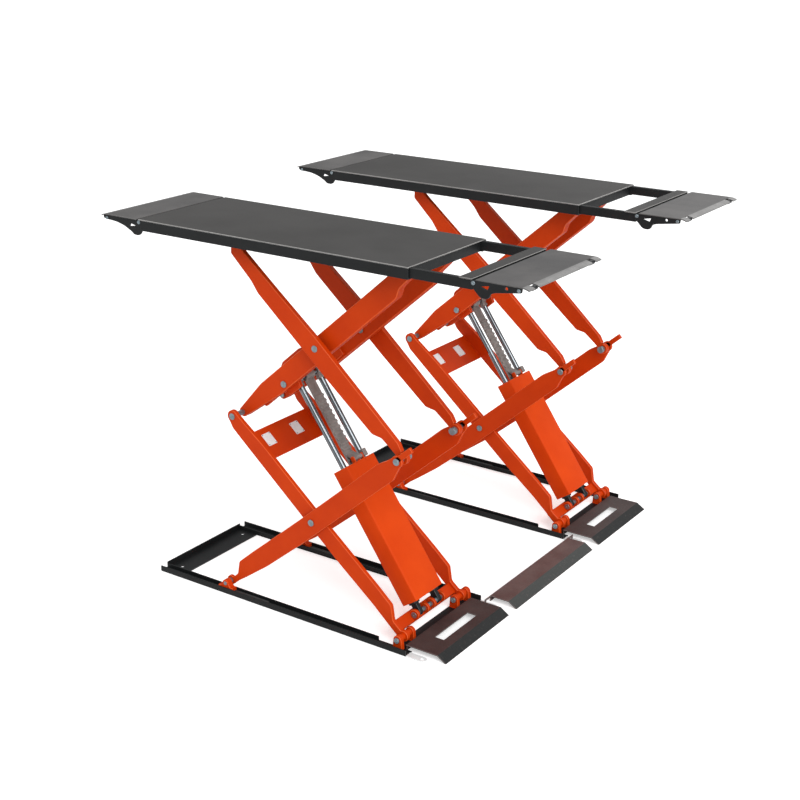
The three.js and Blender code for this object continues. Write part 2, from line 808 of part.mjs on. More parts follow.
// Lever with its nose just clear of the rack's teeth, and an actuator arm
function lockPawl() {
  const inner = rackHalfWidth - seatGap;
  const noseFace = toothTop + pawlNoseGap;
  const nose = plate([
    [-pawlAlong + pawlHubRadius, pawlAcross], [-pawlAlong - pawlHubRadius, pawlAcross],
    [-pawlAlong - pawlNoseReach - pawlNoseWidth, noseFace],
    [-pawlAlong - pawlNoseReach, noseFace],
  ].reverse(), -inner, inner);
  const tube = bar(-pawlAlong, pawlAcross, pawlTubeRadius, -inner - earThickness, pawlArmOuter);
  const hub = bar(-pawlAlong, pawlAcross, pawlHubRadius, -inner, inner);
  const arm = block(-pawlAlong + pawlArmDrop, -pawlAlong + pawlArmDrop - pawlArmLength,
    pawlArmInner, pawlArmOuter, pawlAcross - pawlArmDrop, pawlAcross + pawlArmRise);
  return union([nose, tube, hub, arm]);
}

const axleHalf = bracketInner - seatGap;

function pistonRods() {
  const rods = onBothSides((side) => lengthwiseBar(-rodFoot, -cylinderLength,
    side * cylinderOffset, 0, rodRadius));
  return rods.add(bar(-cylinderLength, 0, headAxleRadius, -axleHalf, axleHalf));
}

function lockRack() {
  const end = cylinderLength - rackEyeRadius / 2;
  const toothed = end - rackEyeClear;
  const teeth = Math.floor((toothed - rackFoot) / toothPitch);
  const profile = [[-end, rackFront], [-end, -rackBack], [-rackFoot, -rackBack]];
  for (let tooth = 0; tooth < teeth; tooth += 1) {
    const start = rackFoot + tooth * toothPitch;
    profile.push([-start, rackFront + toothDepth]);
    profile.push([-start - toothPitch / 2, rackFront + toothDepth]);
    profile.push([-start - toothPitch / 2, rackFront]);
    profile.push([-start - toothPitch + seatGap, rackFront]);
  }
  const holeHalf = rackHalfWidth + overrun;
  return plate(profile, -rackHalfWidth, rackHalfWidth)
    .add(bar(-cylinderLength, 0, rackEyeRadius, -rackHalfWidth, rackHalfWidth))
    .subtract(bar(-cylinderLength, 0, headAxleRadius + seatGap, -holeHalf, holeHalf));
}

// Platform, measured from the pin that joins it to the lift arms
function deckTop() {
  const top = block(-deckBehindPin + hingeLineHalf, deckAheadOfPin, -deckHalf, deckHalf,
    deckUnderside, deckAbovePin);
  const trackHalf = topShoeSideGap + trackThickness;
  const trackBottom = deckSeat - trackDepth;
  const fittings = onBothSides((side) => union([
    block(-trackStart, -trackEnd, side * (topShoeOuter + topShoeSideGap),
      side * (topShoeOuter + trackHalf), trackBottom, deckAbovePin),
    block(-trackStart, -trackEnd, side * (topShoeInner - trackHalf),
      side * (topShoeInner - topShoeSideGap), trackBottom, deckAbovePin),
    deckCheek(side * outerDeckCheek, side * (outerDeckCheek + deckCheekThickness)),
    deckCheek(side * (innerDeckCheek - deckCheekThickness), side * innerDeckCheek),
  ]));
  return top.add(fittings);
}

function deckCheek(y0, y1) {
  const outline = [
    [-deckCheekRadius, 0], [deckCheekRadius, 0], [deckCheekHalf, deckUnderside],
    [deckCheekHalf, deckAbovePin], [-deckCheekHalf, deckAbovePin],
    [-deckCheekHalf, deckUnderside],
  ];
  return plate(outline, y0, y1)
    .add(bar(0, 0, deckCheekRadius, y0, y1))
    .subtract(bore(0, 0, pinRadius + boreGap, y0, y1));
}

const outerDeckCheek = liftArmOuter + deckCheekGap;
const innerDeckCheek = liftArmInner - deckCheekGap;
const hingeHeight = deckAbovePin - hingeDrop;
const tubeHalf = deckHalf - skirtThickness - flapCheekThickness - seatGap - seatGap;

function deckFrame() {
  const skirtStart = -deckBehindPin + skirtSetback;
  const skirtBottom = deckAbovePin - skirtDepth;
  const web = deckHalf - skirtThickness;
  const skirts = onBothSides((side) => union([
    block(skirtStart, deckAheadOfPin, side * web, side * deckHalf, skirtBottom, deckSeat),
    block(skirtStart + flangeSetback, deckAheadOfPin, side * (deckHalf - flangeReach),
      side * deckHalf, skirtBottom, flangeTop),
  ]));
  const inside = extensionRailInner - seatGap;
  const backStart = skirtStart + memberSetback;
  const frontEnd = deckAheadOfPin - frontMemberSetback;
  const tube = bar(-deckBehindPin, hingeHeight, hingeTubeRadius, -tubeHalf, tubeHalf);
  const tubePlate = block(-deckBehindPin, backStart + memberWidth, -inside, inside,
    deckSeat - hingeWebThickness, deckSeat);
  const members = union([
    block(backStart, backStart + memberWidth, -web, web, deckSeat - memberDepth, deckSeat),
    block(frontEnd - memberWidth, frontEnd, -inside, inside, skirtBottom, deckSeat),
    block(frontEnd - memberWidth, frontEnd, -web, web, skirtBottom, flangeTop),
    tubePlate,
    tube,
  ]);
  return skirts.add(members.subtract(bore(-deckBehindPin, hingeHeight,
    hingePinRadius + boreGap, -tubeHalf, tubeHalf)));
}

function deckAxle() {
  const face = outerDeckCheek + deckCheekThickness + seatGap;
  const heads = onBothSides((side) => bar(0, 0, innerHeadRadius, side * face,
    side * (face + deckPinHeadWidth)));
  return bar(0, 0, pinRadius, -face, face).add(heads);
}

const exitTubeHalf = deckHalf - flapCheekThickness - seatGap;

function extensionFrame() {
  const hinge = exitHingeAheadOfPin;
  const plateEnd = hinge - hingeLineHalf;
  const plateStart = plateEnd - extensionPlateWidth;
  const railEnd = hinge - hingeTubeRadius;
  const railBottom = flangeTop + seatGap;
  const wall = extensionRailWall;
  const rails = onBothSides((side) => {
    const inner = extensionRailInner;
    const outer = extensionRailOuter;
    const tube = block(-extensionRailBack, railEnd, side * inner, side * outer, railBottom,
      deckSeat);
    const cavity = block(-extensionRailBack - overrun, railEnd - overrun,
      side * (inner + wall), side * (outer - wall), railBottom + wall, deckSeat - wall);
    const seat = block(plateStart, railEnd, side * inner, side * outer,
      deckSeat - wall, deckAbovePin);
    return tube.subtract(cavity).add(seat);
  });
  const top = block(plateStart, plateEnd, -deckHalf, deckHalf, deckUnderside, deckAbovePin);
  const web = block(plateEnd - hingeWebThickness, plateEnd, -exitTubeHalf, exitTubeHalf,
    hingeHeight, deckAbovePin);
  const tube = bar(hinge, hingeHeight, hingeTubeRadius, -exitTubeHalf, exitTubeHalf);
  return union([rails, top, web, tube]).subtract(bore(hinge, hingeHeight,
    hingePinRadius + boreGap, -exitTubeHalf, exitTubeHalf));
}

// Flaps, measured from their hinge lines
function flapSheet(length, lean) {
  const top = hingeDrop;
  const under = hingeDrop - deckPlate;
  const outline = [
    [hingeLineHalf, under], [length - flapTipBend, under],
    [length - deckPlate / 2, under - flapTipDrop / 2], [length, top - flapTipDrop],
    [length - flapTipBend, top], [hingeLineHalf, top],
  ].map(([x, z]) => [lean * x, z]);
  return plate(lean > 0 ? outline : outline.reverse(), -deckHalf, deckHalf);
}

function flapCheek(shares, length, lean, y0, y1) {
  const outline = scaled(shares, length, cheekDepth, lean).map(([x, z]) => [x, z + hingeDrop]);
  return plate(outline, y0, y1);
}

function flapHingePins(side, cheekInner, cheekOuter) {
  return union([
    bar(0, 0, hingePinRadius, side * (cheekInner - hingePinReach), side * cheekInner),
    bar(0, 0, hingeHeadRadius, side * cheekInner, side * (cheekOuter + hingeHeadWidth)),
  ]);
}

function exitFlap() {
  const lean = 1;
  const length = exitFlapLength;
  const cheekInner = deckHalf - flapCheekThickness;
  const rollerX = length - tipRollerInset;
  const rollerZ = hingeDrop - tipRollerDrop;
  const notches = onBothSides((side) => block(length - notchDepth, length + overrun,
    side * notchInner, side * notchOuter, -cheekDepth, hingeDrop + overrun));
  const ears = onBothSides((side) => union([notchInner - tipEarThickness, notchOuter].map(
    (y) => block(rollerX - tipEarHalf, rollerX + tipEarHalf, side * y,
      side * (y + tipEarThickness), rollerZ - tipEarDrop, hingeDrop - deckPlate + seatGap))));
  const cheeks = onBothSides((side) => {
    const y0 = side * cheekInner;
    const y1 = side * deckHalf;
    const cut = flapCheek(exitCutShares, length, lean, side * (cheekInner - overrun),
      side * (deckHalf + overrun));
    const hole = bore(exitHoleShares[0] * length, exitHoleShares[1] * cheekDepth + hingeDrop,
      cheekHoleRadius, y0, y1);
    const tipPin = bar(exitPinShares[0] * length, exitPinShares[1] * cheekDepth + hingeDrop,
      tipPinRadius, y0, side * (deckHalf + tipPinWidth));
    const cheek = flapCheek(exitCheekOutlineShares, length, lean, y0, y1);
    return union([cheek.subtract(cut).subtract(hole), tipPin,
      flapHingePins(side, cheekInner, deckHalf)]);
  });
  const axleHole = bore(rollerX, rollerZ, tipRollerAxle + boreGap, -notchOuter, notchOuter);
  const sheet = flapSheet(length, lean).subtract(notches);
  return union([sheet, ears.subtract(axleHole), cheeks]);
}

function exitFlapRollers() {
  const x = exitFlapLength - tipRollerInset;
  const z = hingeDrop - tipRollerDrop;
  const rollers = onBothSides((side) => bar(x, z, tipRollerRadius,
    side * (notchInner + tipRollerGap), side * (notchOuter - tipRollerGap)));
  const end = notchOuter + tipEarThickness;
  return rollers.add(bar(x, z, tipRollerAxle, -end, end));
}

function entryFlap() {
  const lean = -1;
  const length = entryFlapLength;
  const cheekOuter = deckHalf - skirtThickness - seatGap;
  const cheekInner = cheekOuter - flapCheekThickness;
  const sides = onBothSides((side) => {
    const cut = flapCheek(entryCutShares, length, lean, side * (cheekInner - overrun),
      side * (cheekOuter + overrun));
    const tipPin = bar(lean * entryPinShares[0] * length,
      entryPinShares[1] * cheekDepth + hingeDrop, tipPinRadius, side * cheekInner,
      side * (cheekOuter + tipPinWidth));
    const cheek = flapCheek(entryCheekOutlineShares, length, lean, side * cheekInner,
      side * cheekOuter);
    return union([cheek.subtract(cut), tipPin, flapHingePins(side, cheekInner, cheekOuter)]);
  });
  return flapSheet(length, lean).add(sides);
}

// One lift unit
function buildUnit(prefix, y) {
  const unit = new THREE.Group();
  unit.position.y = y;
  const add = (group, name, solid, finish) => addPiece(group, `${prefix}_${name}`, solid, finish);
  const addBoth = (group, name, make, finish) => {
    add(group, `near_${name}`, make(-1), finish);
    add(group, `far_${name}`, make(1), finish);
  };

  add(unit, "floor_frame", floorFrame(), darkPaint);
  add(unit, "ramp_cover", rampCover(), brownPaint);
  addBoth(unit, "base_pin", basePin, pinSteel);

  add(frameAt(unit, basePivot, rise), "base_arms", baseArms(), orangePaint);

  const foot = new THREE.Vector2(footX, pivotHeight);
  addBoth(frameAt(unit, foot, -rise), "slide_arm", slideArm, orangePaint);
  addBoth(frameAt(unit, foot, 0), "foot_shoe", footShoe, orangePaint);
  addBoth(frameAt(unit, rightKnee, -rise), "right_knuckle_pin", rightKnucklePin, pinSteel);

  const liftFrame = frameAt(unit, leftKnee, -rise);
  add(liftFrame, "lift_arms", liftArms(), orangePaint);
  addBoth(liftFrame, "left_knuckle_pin", leftKnucklePin, pinSteel);

  add(frameAt(unit, rightKnee, rise), "top_arms", topArms(), orangePaint);
  addBoth(frameAt(unit, slideTop, 0), "top_shoe", topShoe, darkPaint);

  const packFrame = frameAt(unit, cylinderFoot, cylinderTilt);
  add(packFrame, "cylinder_cover", cylinderCover(), orangePaint);
  add(packFrame, "cylinder_barrels", cylinderBarrels(), blackSteel);
  add(packFrame, "lock_pawl", lockPawl(), blackSteel);
  add(packFrame, "piston_rods", pistonRods(), chromeSteel);
  add(packFrame, "lock_rack", lockRack(), pinSteel);

  const deck = frameAt(unit, liftTop, 0);
  add(deck, "deck_top", deckTop(), deckPaint);
  add(deck, "deck_frame", deckFrame(), darkPaint);
  add(deck, "deck_axle", deckAxle(), pinSteel);
  add(deck, "extension_frame", extensionFrame(), deckPaint);
  const exitHinge = new THREE.Vector2(exitHingeAheadOfPin, hingeHeight);
  const exitFrame = frameAt(deck, exitHinge, 0);
  add(exitFrame, "exit_flap", exitFlap(), deckPaint);
  add(exitFrame, "exit_flap_rollers", exitFlapRollers(), pinSteel);
  const entryHinge = new THREE.Vector2(-deckBehindPin, hingeHeight);
  add(frameAt(deck, entryHinge, 0), "entry_flap", entryFlap(), deckPaint);
  return unit;
}

const lift = new THREE.Group();
lift.position.x = -(exitTip + entryTip) / 2;
const halfPitch = unitPitch / 2;
lift.add(buildUnit("lift_a", -halfPitch));
lift.add(buildUnit("lift_b", halfPitch));
addPiece(lift, "mid_cover", midCover(), brownPaint);

export default lift;
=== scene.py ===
"""Looks of a double-scissor car lift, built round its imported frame.

Two identical lift units stand side by side, fully raised. Sizes are in millimetres, as on a
drawing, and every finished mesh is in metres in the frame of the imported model: +X along the
platforms towards the fixed pivots, +Y from the near unit to the far one, +Z up.
"""

import json
import logging
import math
from collections.abc import Sequence
from dataclasses import dataclass
from enum import Enum

import bpy
import numpy as np
from mathutils import Matrix, Vector, geometry

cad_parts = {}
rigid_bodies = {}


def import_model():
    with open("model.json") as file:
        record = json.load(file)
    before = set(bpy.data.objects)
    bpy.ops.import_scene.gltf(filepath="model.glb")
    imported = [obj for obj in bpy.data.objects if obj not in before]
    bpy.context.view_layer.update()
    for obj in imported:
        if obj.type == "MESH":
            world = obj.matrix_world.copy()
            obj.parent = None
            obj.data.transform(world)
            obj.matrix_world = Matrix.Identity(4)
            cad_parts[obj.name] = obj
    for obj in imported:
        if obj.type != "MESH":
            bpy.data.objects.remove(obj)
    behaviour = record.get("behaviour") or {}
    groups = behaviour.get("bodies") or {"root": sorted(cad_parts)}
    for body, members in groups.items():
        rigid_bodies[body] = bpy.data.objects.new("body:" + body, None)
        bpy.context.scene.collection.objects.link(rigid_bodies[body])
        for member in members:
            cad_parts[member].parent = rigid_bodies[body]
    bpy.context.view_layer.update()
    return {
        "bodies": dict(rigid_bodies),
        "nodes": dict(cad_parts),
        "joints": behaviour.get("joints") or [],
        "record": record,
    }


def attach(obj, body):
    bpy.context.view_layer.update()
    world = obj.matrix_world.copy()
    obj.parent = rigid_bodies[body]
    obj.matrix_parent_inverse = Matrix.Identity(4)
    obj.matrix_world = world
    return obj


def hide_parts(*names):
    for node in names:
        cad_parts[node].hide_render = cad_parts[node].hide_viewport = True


log = logging.getLogger("car_lift")

Pair = tuple[float, float]  # a place and a height, or where something begins and ends
Edge = tuple[Pair, ...]  # points of an edge or outline

MM = 0.001
UNIT_Y = 750.0  # from the row's middle to each unit's
ROW_SHIFT = 545.52  # from the row's middle to the base pins, where a unit's x starts
RISE = math.radians(41.2)  # how steeply every arm climbs when raised
LOWER_HALF = 671.0  # base pin to lower centre pin
UPPER_HALF = 634.0  # knuckle to upper centre pin
BASE_LENGTH = LOWER_HALF + UPPER_HALF
TOP_LENGTH = 2 * UPPER_HALF
PIVOT_HEIGHT = 50.0
TOP_PIN_RISE = 15.0  # the top pins lie this far above the arms' own line
CYLINDER_LUG = (48.0, 12.0)  # on the base arms
ROD_HEAD_EYE = (316.0, -24.0)  # in the lift arms' bracket
HINGE_RISE = 31.0  # the flaps' hinges above the deck's pin
EXIT_HINGE_REACH = 400.7
ENTRY_HINGE_REACH = 1435.0
SEAT_GAP = 0.3  # between a pin's shoulder and the part that it stands beside
COVER_BEND = 1.6  # how far the bends of covers and deck plates reach
FRAME_BEND = 1.2
SHEET_RIM = 0.8  # width of the cut rims of sheet metal


class Side(Enum):
    """The two sides of a lift unit: near is towards the camera."""

    NEAR = -1
    FAR = 1

    @property
    def word(self) -> str:
        """The side's word in the nodes' names."""
        return self.name.lower()


@dataclass(frozen=True)
class Layer:
    """Where a part begins and ends across the unit, outwards from its middle."""

    inner: float
    outer: float

    def on(self, side: Side) -> Pair:
        """The part's two faces on one side of the unit."""
        return side.value * self.inner, side.value * self.outer

    def seat(self) -> Pair:
        """Where a pin's shoulders stand, just clear of both faces."""
        return self.inner - SEAT_GAP, self.outer + SEAT_GAP


BRACKET_LAYER = Layer(108.0, 129.0)
LIFT_LAYER = Layer(125.0, 175.0)
INNER_CHEEK = Layer(179.7, 199.7)
TOP_LAYER = Layer(203.0, 229.0)
BASE_LAYER = Layer(232.0, 254.0)
SLIDE_LAYER = Layer(257.0, 273.0)
OUTER_CHEEK = Layer(276.3, 300.0)


class Plane(Enum):
    """The plane that a plate's outline lies in, as the order of its local axes."""

    UPRIGHT = (0, 2, 1)
    FLAT = (0, 1, 2)
    CROSS = (1, 2, 0)


class Axis(Enum):
    """The way that a turned part's axis runs: the local axes of its length and its round."""

    LENGTHWISE = (0, 1, 2)
    ACROSS = (1, 0, 2)
    UPWARD = (2, 0, 1)


@dataclass
class Shell:
    """A closed surface in local millimetres: along, across the unit, and up.

    Rims holds True for each four-sided face on a cut or rounded rim, which takes the rim finish:
    in most coats a painted highlight, lighter than the faces.
    """

    points: np.ndarray
    quads: np.ndarray
    rims: np.ndarray
    tris: np.ndarray

    def volume(self) -> float:
        """Signed volume: a sixth of the triple products of the faces' corners.

        Returns:
            The volume, negative if the faces point inwards.
        """
        split = np.vstack([self.quads[:, [0, 1, 2]], self.quads[:, [0, 2, 3]], self.tris])
        a, b, c = self.points[split.T]
        return float(np.einsum("ij,ij->i", a, np.cross(b, c)).sum() / 6)

    def facing_out(self) -> "Shell":
        """The same surface with its faces turned to point outwards.

        Returns:
            This Shell, or one with its faces wound the other way.
        """
        if self.volume() >= 0:
            return self
        return Shell(self.points, self.quads[:, ::-1], self.rims, self.tris[:, ::-1])

    def at(self, along: float = 0.0, across: float = 0.0, up: float = 0.0) -> "Shell":
        """The same surface moved by these millimetres."""
        moved = self.points + np.array([along, across, up])
        return Shell(moved, self.quads, self.rims, self.tris)


def joined(shells: Sequence[Shell]) -> Shell:
    """Puts several closed surfaces into one mesh.

    Args:
        shells: the surfaces, in one local frame.

    Returns:
        One Shell that holds them all.
    """
    starts = np.cumsum([0] + [len(s.points) for s in shells[:-1]])
    return Shell(
        np.vstack([s.points for s in shells]),
        np.vstack([s.quads + k for s, k in zip(shells, starts)]),
        np.concatenate([s.rims for s in shells]),
        np.vstack([s.tris + k for s, k in zip(shells, starts)]),
    )


@dataclass(frozen=True)
class Place:
    """Where a piece's local frame stands in a unit: its start and its two unit directions."""

    x: float
    z: float
    along: Pair = (1.0, 0.0)
    up: Pair = (0.0, 1.0)

    def point(self, along: float, up: float) -> Pair:
        """Unit x and z of a local point.

        Args:
            along: its place along the frame.
            up: its height in the frame.

        Returns:
            The point in the unit.
        """
        return (
            self.x + along * self.along[0] + up * self.up[0],
            self.z + along * self.along[1] + up * self.up[1],
        )

    def metres(self, points: np.ndarray, unit_y: float) -> np.ndarray:
        """Local points carried into the row frame: start + along * s + up * h, then to metres.

        Args:
            points: local millimetres, one row a point.
            unit_y: the unit's middle plane across the lift.

        Returns:
            Row-frame metres, one row a point.
        """
        s, y, h = points.T
        x = self.x + s * self.along[0] + h * self.up[0] + ROW_SHIFT
        z = self.z + s * self.along[1] + h * self.up[1]
        return np.column_stack([x, y + unit_y, z]) * MM


def leaning_left(x: float, z: float, angle: float) -> Place:
    """A frame whose length climbs towards -X at the given angle from the floor."""
    c, s = math.cos(angle), math.sin(angle)
    return Place(x, z, (-c, s), (s, c))


def leaning_right(x: float, z: float, angle: float) -> Place:
    """A frame whose length climbs towards +X at the given angle from the floor."""
    c, s = math.cos(angle), math.sin(angle)
    return Place(x, z, (c, s), (-s, c))


KNEE_Z = PIVOT_HEIGHT + BASE_LENGTH * math.sin(RISE)
FOOT_X = -2 * LOWER_HALF * math.cos(RISE)
BASE = leaning_left(0.0, PIVOT_HEIGHT, RISE)
SLIDE = leaning_right(FOOT_X, PIVOT_HEIGHT, RISE)
LIFT = leaning_right(-BASE_LENGTH * math.cos(RISE), KNEE_Z, RISE)
TOP = leaning_left(FOOT_X + BASE_LENGTH * math.cos(RISE), KNEE_Z, RISE)
FLOOR = Place(0.0, 0.0)
FOOT = Place(FOOT_X, PIVOT_HEIGHT)
DECK = Place(*LIFT.point(TOP_LENGTH, TOP_PIN_RISE))
TOP_SHOE = Place(*TOP.point(TOP_LENGTH, TOP_PIN_RISE))
PACK_FOOT = BASE.point(*CYLINDER_LUG)
ROD_HEAD = LIFT.point(*ROD_HEAD_EYE)
PACK_LENGTH = math.dist(PACK_FOOT, ROD_HEAD)
PACK = leaning_left(
    *PACK_FOOT, math.atan2(ROD_HEAD[1] - PACK_FOOT[1], PACK_FOOT[0] - ROD_HEAD[0])
)
EXIT_HINGE = Place(DECK.x + EXIT_HINGE_REACH, DECK.z + HINGE_RISE)
ENTRY_HINGE = Place(DECK.x - ENTRY_HINGE_REACH, DECK.z + HINGE_RISE, (-1.0, 0.0))


# Surfaces


def rounded(corners: Sequence[Pair], radii: float | Sequence[float]) -> np.ndarray:
    """An outline whose corners are eased by arcs: each arc is a curve of two weights, the
    squares of 1 - t and t, between the points where the corner begins and ends.

    Args:
        corners: the sharp corners in order.
        radii: how far before and after each corner its arc begins and ends.

    Returns:
        Points of the eased outline.
    """
    most, arc_points = 0.48, 6  # share of an edge that one corner may take, and points an arc
    p = np.array(corners, float)
    before, after = np.roll(p, 1, 0) - p, np.roll(p, -1, 0) - p
    lengths = np.linalg.norm(before, axis=1), np.linalg.norm(after, axis=1)
    reach = np.minimum(np.array(radii, float), most * np.minimum(*lengths))[:, None]
    start = p + before / lengths[0][:, None] * reach
    end = p + after / lengths[1][:, None] * reach
    t = np.linspace(0, 1, arc_points)[None, :, None]
    arcs = (1 - t) ** 2 * start[:, None] + 2 * t * (1 - t) * p[:, None] + t**2 * end[:, None]
    return without_repeats(arcs.reshape(-1, 2))


def rectangle(low: Pair, high: Pair, corner: float) -> np.ndarray:
    """A rectangle with eased corners, given by its first corner and the opposite one."""
    (a0, b0), (a1, b1) = low, high
    return rounded([(a0, b0), (a1, b0), (a1, b1), (a0, b1)], corner)


def without_repeats(loop: np.ndarray, same: float = 0.05) -> np.ndarray:
    """The closed outline without points that lie on the one before them."""
    gaps = np.linalg.norm(loop - np.roll(loop, 1, 0), axis=1)
    return loop[gaps > same]


def ring(x: float, z: float, radius: float, count: int = 40) -> np.ndarray:
    """A circle of equal steps about a centre."""
    turn = np.linspace(0, 2 * math.pi, count, endpoint=False)
    return np.column_stack([x + radius * np.cos(turn), z + radius * np.sin(turn)])


def bar_outline(
    low: Sequence[Pair],
    high: Sequence[Pair],
    eyes: Sequence[tuple[float, float, float]] = (),
    easing: float = 16.0,
    step: float = 5.0,
) -> np.ndarray:
    """Outline of a flat bar with round eyes.

    The lower and the upper edge are heights over the place along the bar. Each is the bar's own
    edge, averaged over a short window so that its bends are soft, or the rim of a round eye
    where that reaches further out.

    Args:
        low: breakpoints (place, height) of the lower edge.
        high: breakpoints of the upper edge.
        eyes: (place, height, radius) of each round eye.
        easing: width of the averaging window.
        step: spacing of the samples.

    Returns:
        Points of the closed outline.
    """
    fine_step, eye_points, slack = 1.0, 41, 1e-3
    low_s, low_h = np.array(low, float).T
    high_s, high_h = np.array(high, float).T
    start, end = min(low_s[0], high_s[0]), max(low_s[-1], high_s[-1])
    fine = np.arange(start, end + fine_step / 2, fine_step)
    window = max(1, int(easing))
    kernel = np.ones(window) / window
    pad = window // 2, window - 1 - window // 2
    edges = [
        np.convolve(np.pad(np.interp(fine, s, h), pad, mode="edge"), kernel, "valid")
        for s, h in ((low_s, low_h), (high_s, high_h))
    ]
    spans = [np.arange(start, end, step), [start, end], low_s, high_s]
    spans += [s + r * np.cos(np.linspace(0, math.pi, eye_points)) for s, _, r in eyes]
    places = np.unique(np.round(np.concatenate(spans), 3))
    within = (places >= start) & (places <= end)
    lower = np.where(within, np.interp(places, fine, edges[0]), np.inf)
    upper = np.where(within, np.interp(places, fine, edges[1]), -np.inf)
    for s, h, r in eyes:
        half = np.sqrt(np.clip(r * r - (places - s) ** 2, 0, None))
        inside = np.abs(places - s) <= r + slack
        lower = np.where(inside, np.minimum(lower, h - half), lower)
        upper = np.where(inside, np.maximum(upper, h + half), upper)
    bottom = np.column_stack([places, lower])
    top = np.column_stack([places, upper])[::-1]
    return without_repeats(np.vstack([bottom, top]))


def plate(
    loops: Sequence[np.ndarray],
    low: float,
    high: float,
    chamfer: float = 1.5,
    plane: Plane = Plane.UPRIGHT,
) -> Shell:
    """A plate: each outline carried straight from one face to the other, its rims cut at 45
    degrees by moving the end rings inwards along the outline's normals.

    Args:
        loops: the outer outline, then any holes.
        low: where the thickness begins.
        high: where it ends.
        chamfer: width of the cut rims.
        plane: the plane of the outline.

    Returns:
        A closed Shell with flat faces.
    """
    low, high = min(low, high), max(low, high)
    wound = []
    for k, loop in enumerate(loops):
        x, z = loop.T
        area = float(np.sum(x * np.roll(z, -1) - z * np.roll(x, -1)))
        wound.append(loop if (area > 0) == (k == 0) else loop[::-1])
    eased = [narrowed(loop, chamfer) for loop in wound]
    flat = [np.c_[loop, np.zeros(len(loop))].tolist() for loop in eased]
    faces = np.array(geometry.tessellate_polygon(flat), int)
    inner, outer = np.vstack(eased), np.vstack(wound)
    count = len(inner)
    a, b, c = inner[faces.T]
    (u, v), (p, q) = (b - a).T, (c - a).T
    turned_back = u * q - v * p < 0
    faces[turned_back] = faces[turned_back][:, ::-1]
    depths = [low, low + chamfer, high - chamfer, high]
    rings = [inner, outer, outer, inner]
    stack = np.vstack([np.c_[r, np.full(count, d)] for r, d in zip(rings, depths)])
    quads, rims, start = [], [], 0
    for loop in wound:
        index = start + np.arange(len(loop))
        after = start + (np.arange(len(loop)) + 1) % len(loop)
        for level in range(3):
            lift = level * count
            low_edge, high_edge = index + lift, after + lift
            quads.append(np.c_[low_edge, high_edge, high_edge + count, low_edge + count])
            rims.append(np.full(len(loop), level != 1))
        start += len(loop)
    points = np.empty_like(stack)
    points[:, list(plane.value)] = stack
    tris = np.vstack([faces[:, ::-1], faces + 3 * count])
    return Shell(points, np.vstack(quads), np.concatenate(rims), tris).facing_out()


def narrowed(loop: np.ndarray, amount: float) -> np.ndarray:
    """The outline moved inwards: each point goes along the mean of its two edge normals, further
    at a sharp corner, by at most twice the amount.

    Args:
        loop: points of the closed outline, wound so that its inside lies on the left.
        amount: how far its edges move.

    Returns:
        Points of the narrower outline.
    """
    sharpest, shortest = 0.5, 1e-6  # half the edge's normal is twice the amount along the mean
    forward = np.roll(loop, -1, 0) - loop
    forward /= np.linalg.norm(forward, axis=1)[:, None]
    normal = np.c_[forward[:, 1], -forward[:, 0]]
    mean = normal + np.roll(normal, 1, 0)
    mean /= np.maximum(np.linalg.norm(mean, axis=1), shortest)[:, None]
    share = np.clip(np.einsum("ij,ij->i", mean, normal), sharpest, 1)
    return loop - mean * (amount / share)[:, None]


def slab(
    along: Pair,
    across: Pair,
    up: Pair,
    corner: float = 3.0,
    chamfer: float = 1.0,
    plane: Plane = Plane.UPRIGHT,
) -> Shell:
    """A rectangular bar or sheet with eased corners and cut rims.

    Args:
        along: its reach along the frame.
        across: its reach across the unit.
        up: its reach upwards.
        corner: how much its corners are eased, in its outline's plane.
        chamfer: width of the cut rims.
        plane: the plane of its outline.

    Returns:
        A closed Shell.
    """
    reach = [sorted(along), sorted(across), sorted(up)]
    (a0, a1), (b0, b1), (t0, t1) = (reach[k] for k in plane.value)
    return plate(
        [rectangle((a0, b0), (a1, b1), corner)], t0, t1, min(chamfer, (t1 - t0) / 3), plane
    )


def turned(
    profile: Sequence[Pair],
    axis: Axis = Axis.ACROSS,
    sides: int = 40,
    hollow: bool = False,
) -> Shell:
    """A turned part: the point (place, radius) of its profile spun about its axis, so each
    surface point is (place, radius * cos, radius * sin).

    Args:
        profile: places along the axis and radii, from one end to the other.
        axis: the way that its axis runs.
        sides: steps round the axis.
        hollow: True if the profile is a closed ring, as of a pipe.

    Returns:
        A closed Shell.
    """
    place, radius = np.array(profile, float).T
    turn = np.linspace(0, 2 * math.pi, sides, endpoint=False)
    circle = np.stack([np.cos(turn), np.sin(turn)], -1)
    grid = np.empty((len(place), sides, 3))
    grid[..., 0] = place[:, None]
    grid[..., 1:] = radius[:, None, None] * circle
    rows = len(place)
    row_after = (np.arange(rows) + 1) % rows if hollow else np.arange(1, rows)
    row = np.arange(len(row_after))
    column, column_after = np.arange(sides), (np.arange(sides) + 1) % sides
    here, there = row[:, None] * sides, row_after[:, None] * sides
    quads = np.stack(
        [here + column, here + column_after, there + column_after, there + column], -1
    ).reshape(-1, 4)
    local = grid.reshape(-1, 3)
    tris = np.empty((0, 3), int)
    if not hollow:
        ends = np.array([[place[0], 0, 0], [place[-1], 0, 0]])
        local = np.vstack([local, ends])
        first, last = rows * sides, rows * sides + 1
        far = (rows - 1) * sides
        tris = np.vstack(
            [
                np.c_[column_after, column, np.full(sides, first)],
                np.c_[column + far, column_after + far, np.full(sides, last)],
            ]
        )
    points = np.empty_like(local)
    points[:, list(axis.value)] = local
    return Shell(points, quads, np.zeros(len(quads), bool), tris).facing_out()


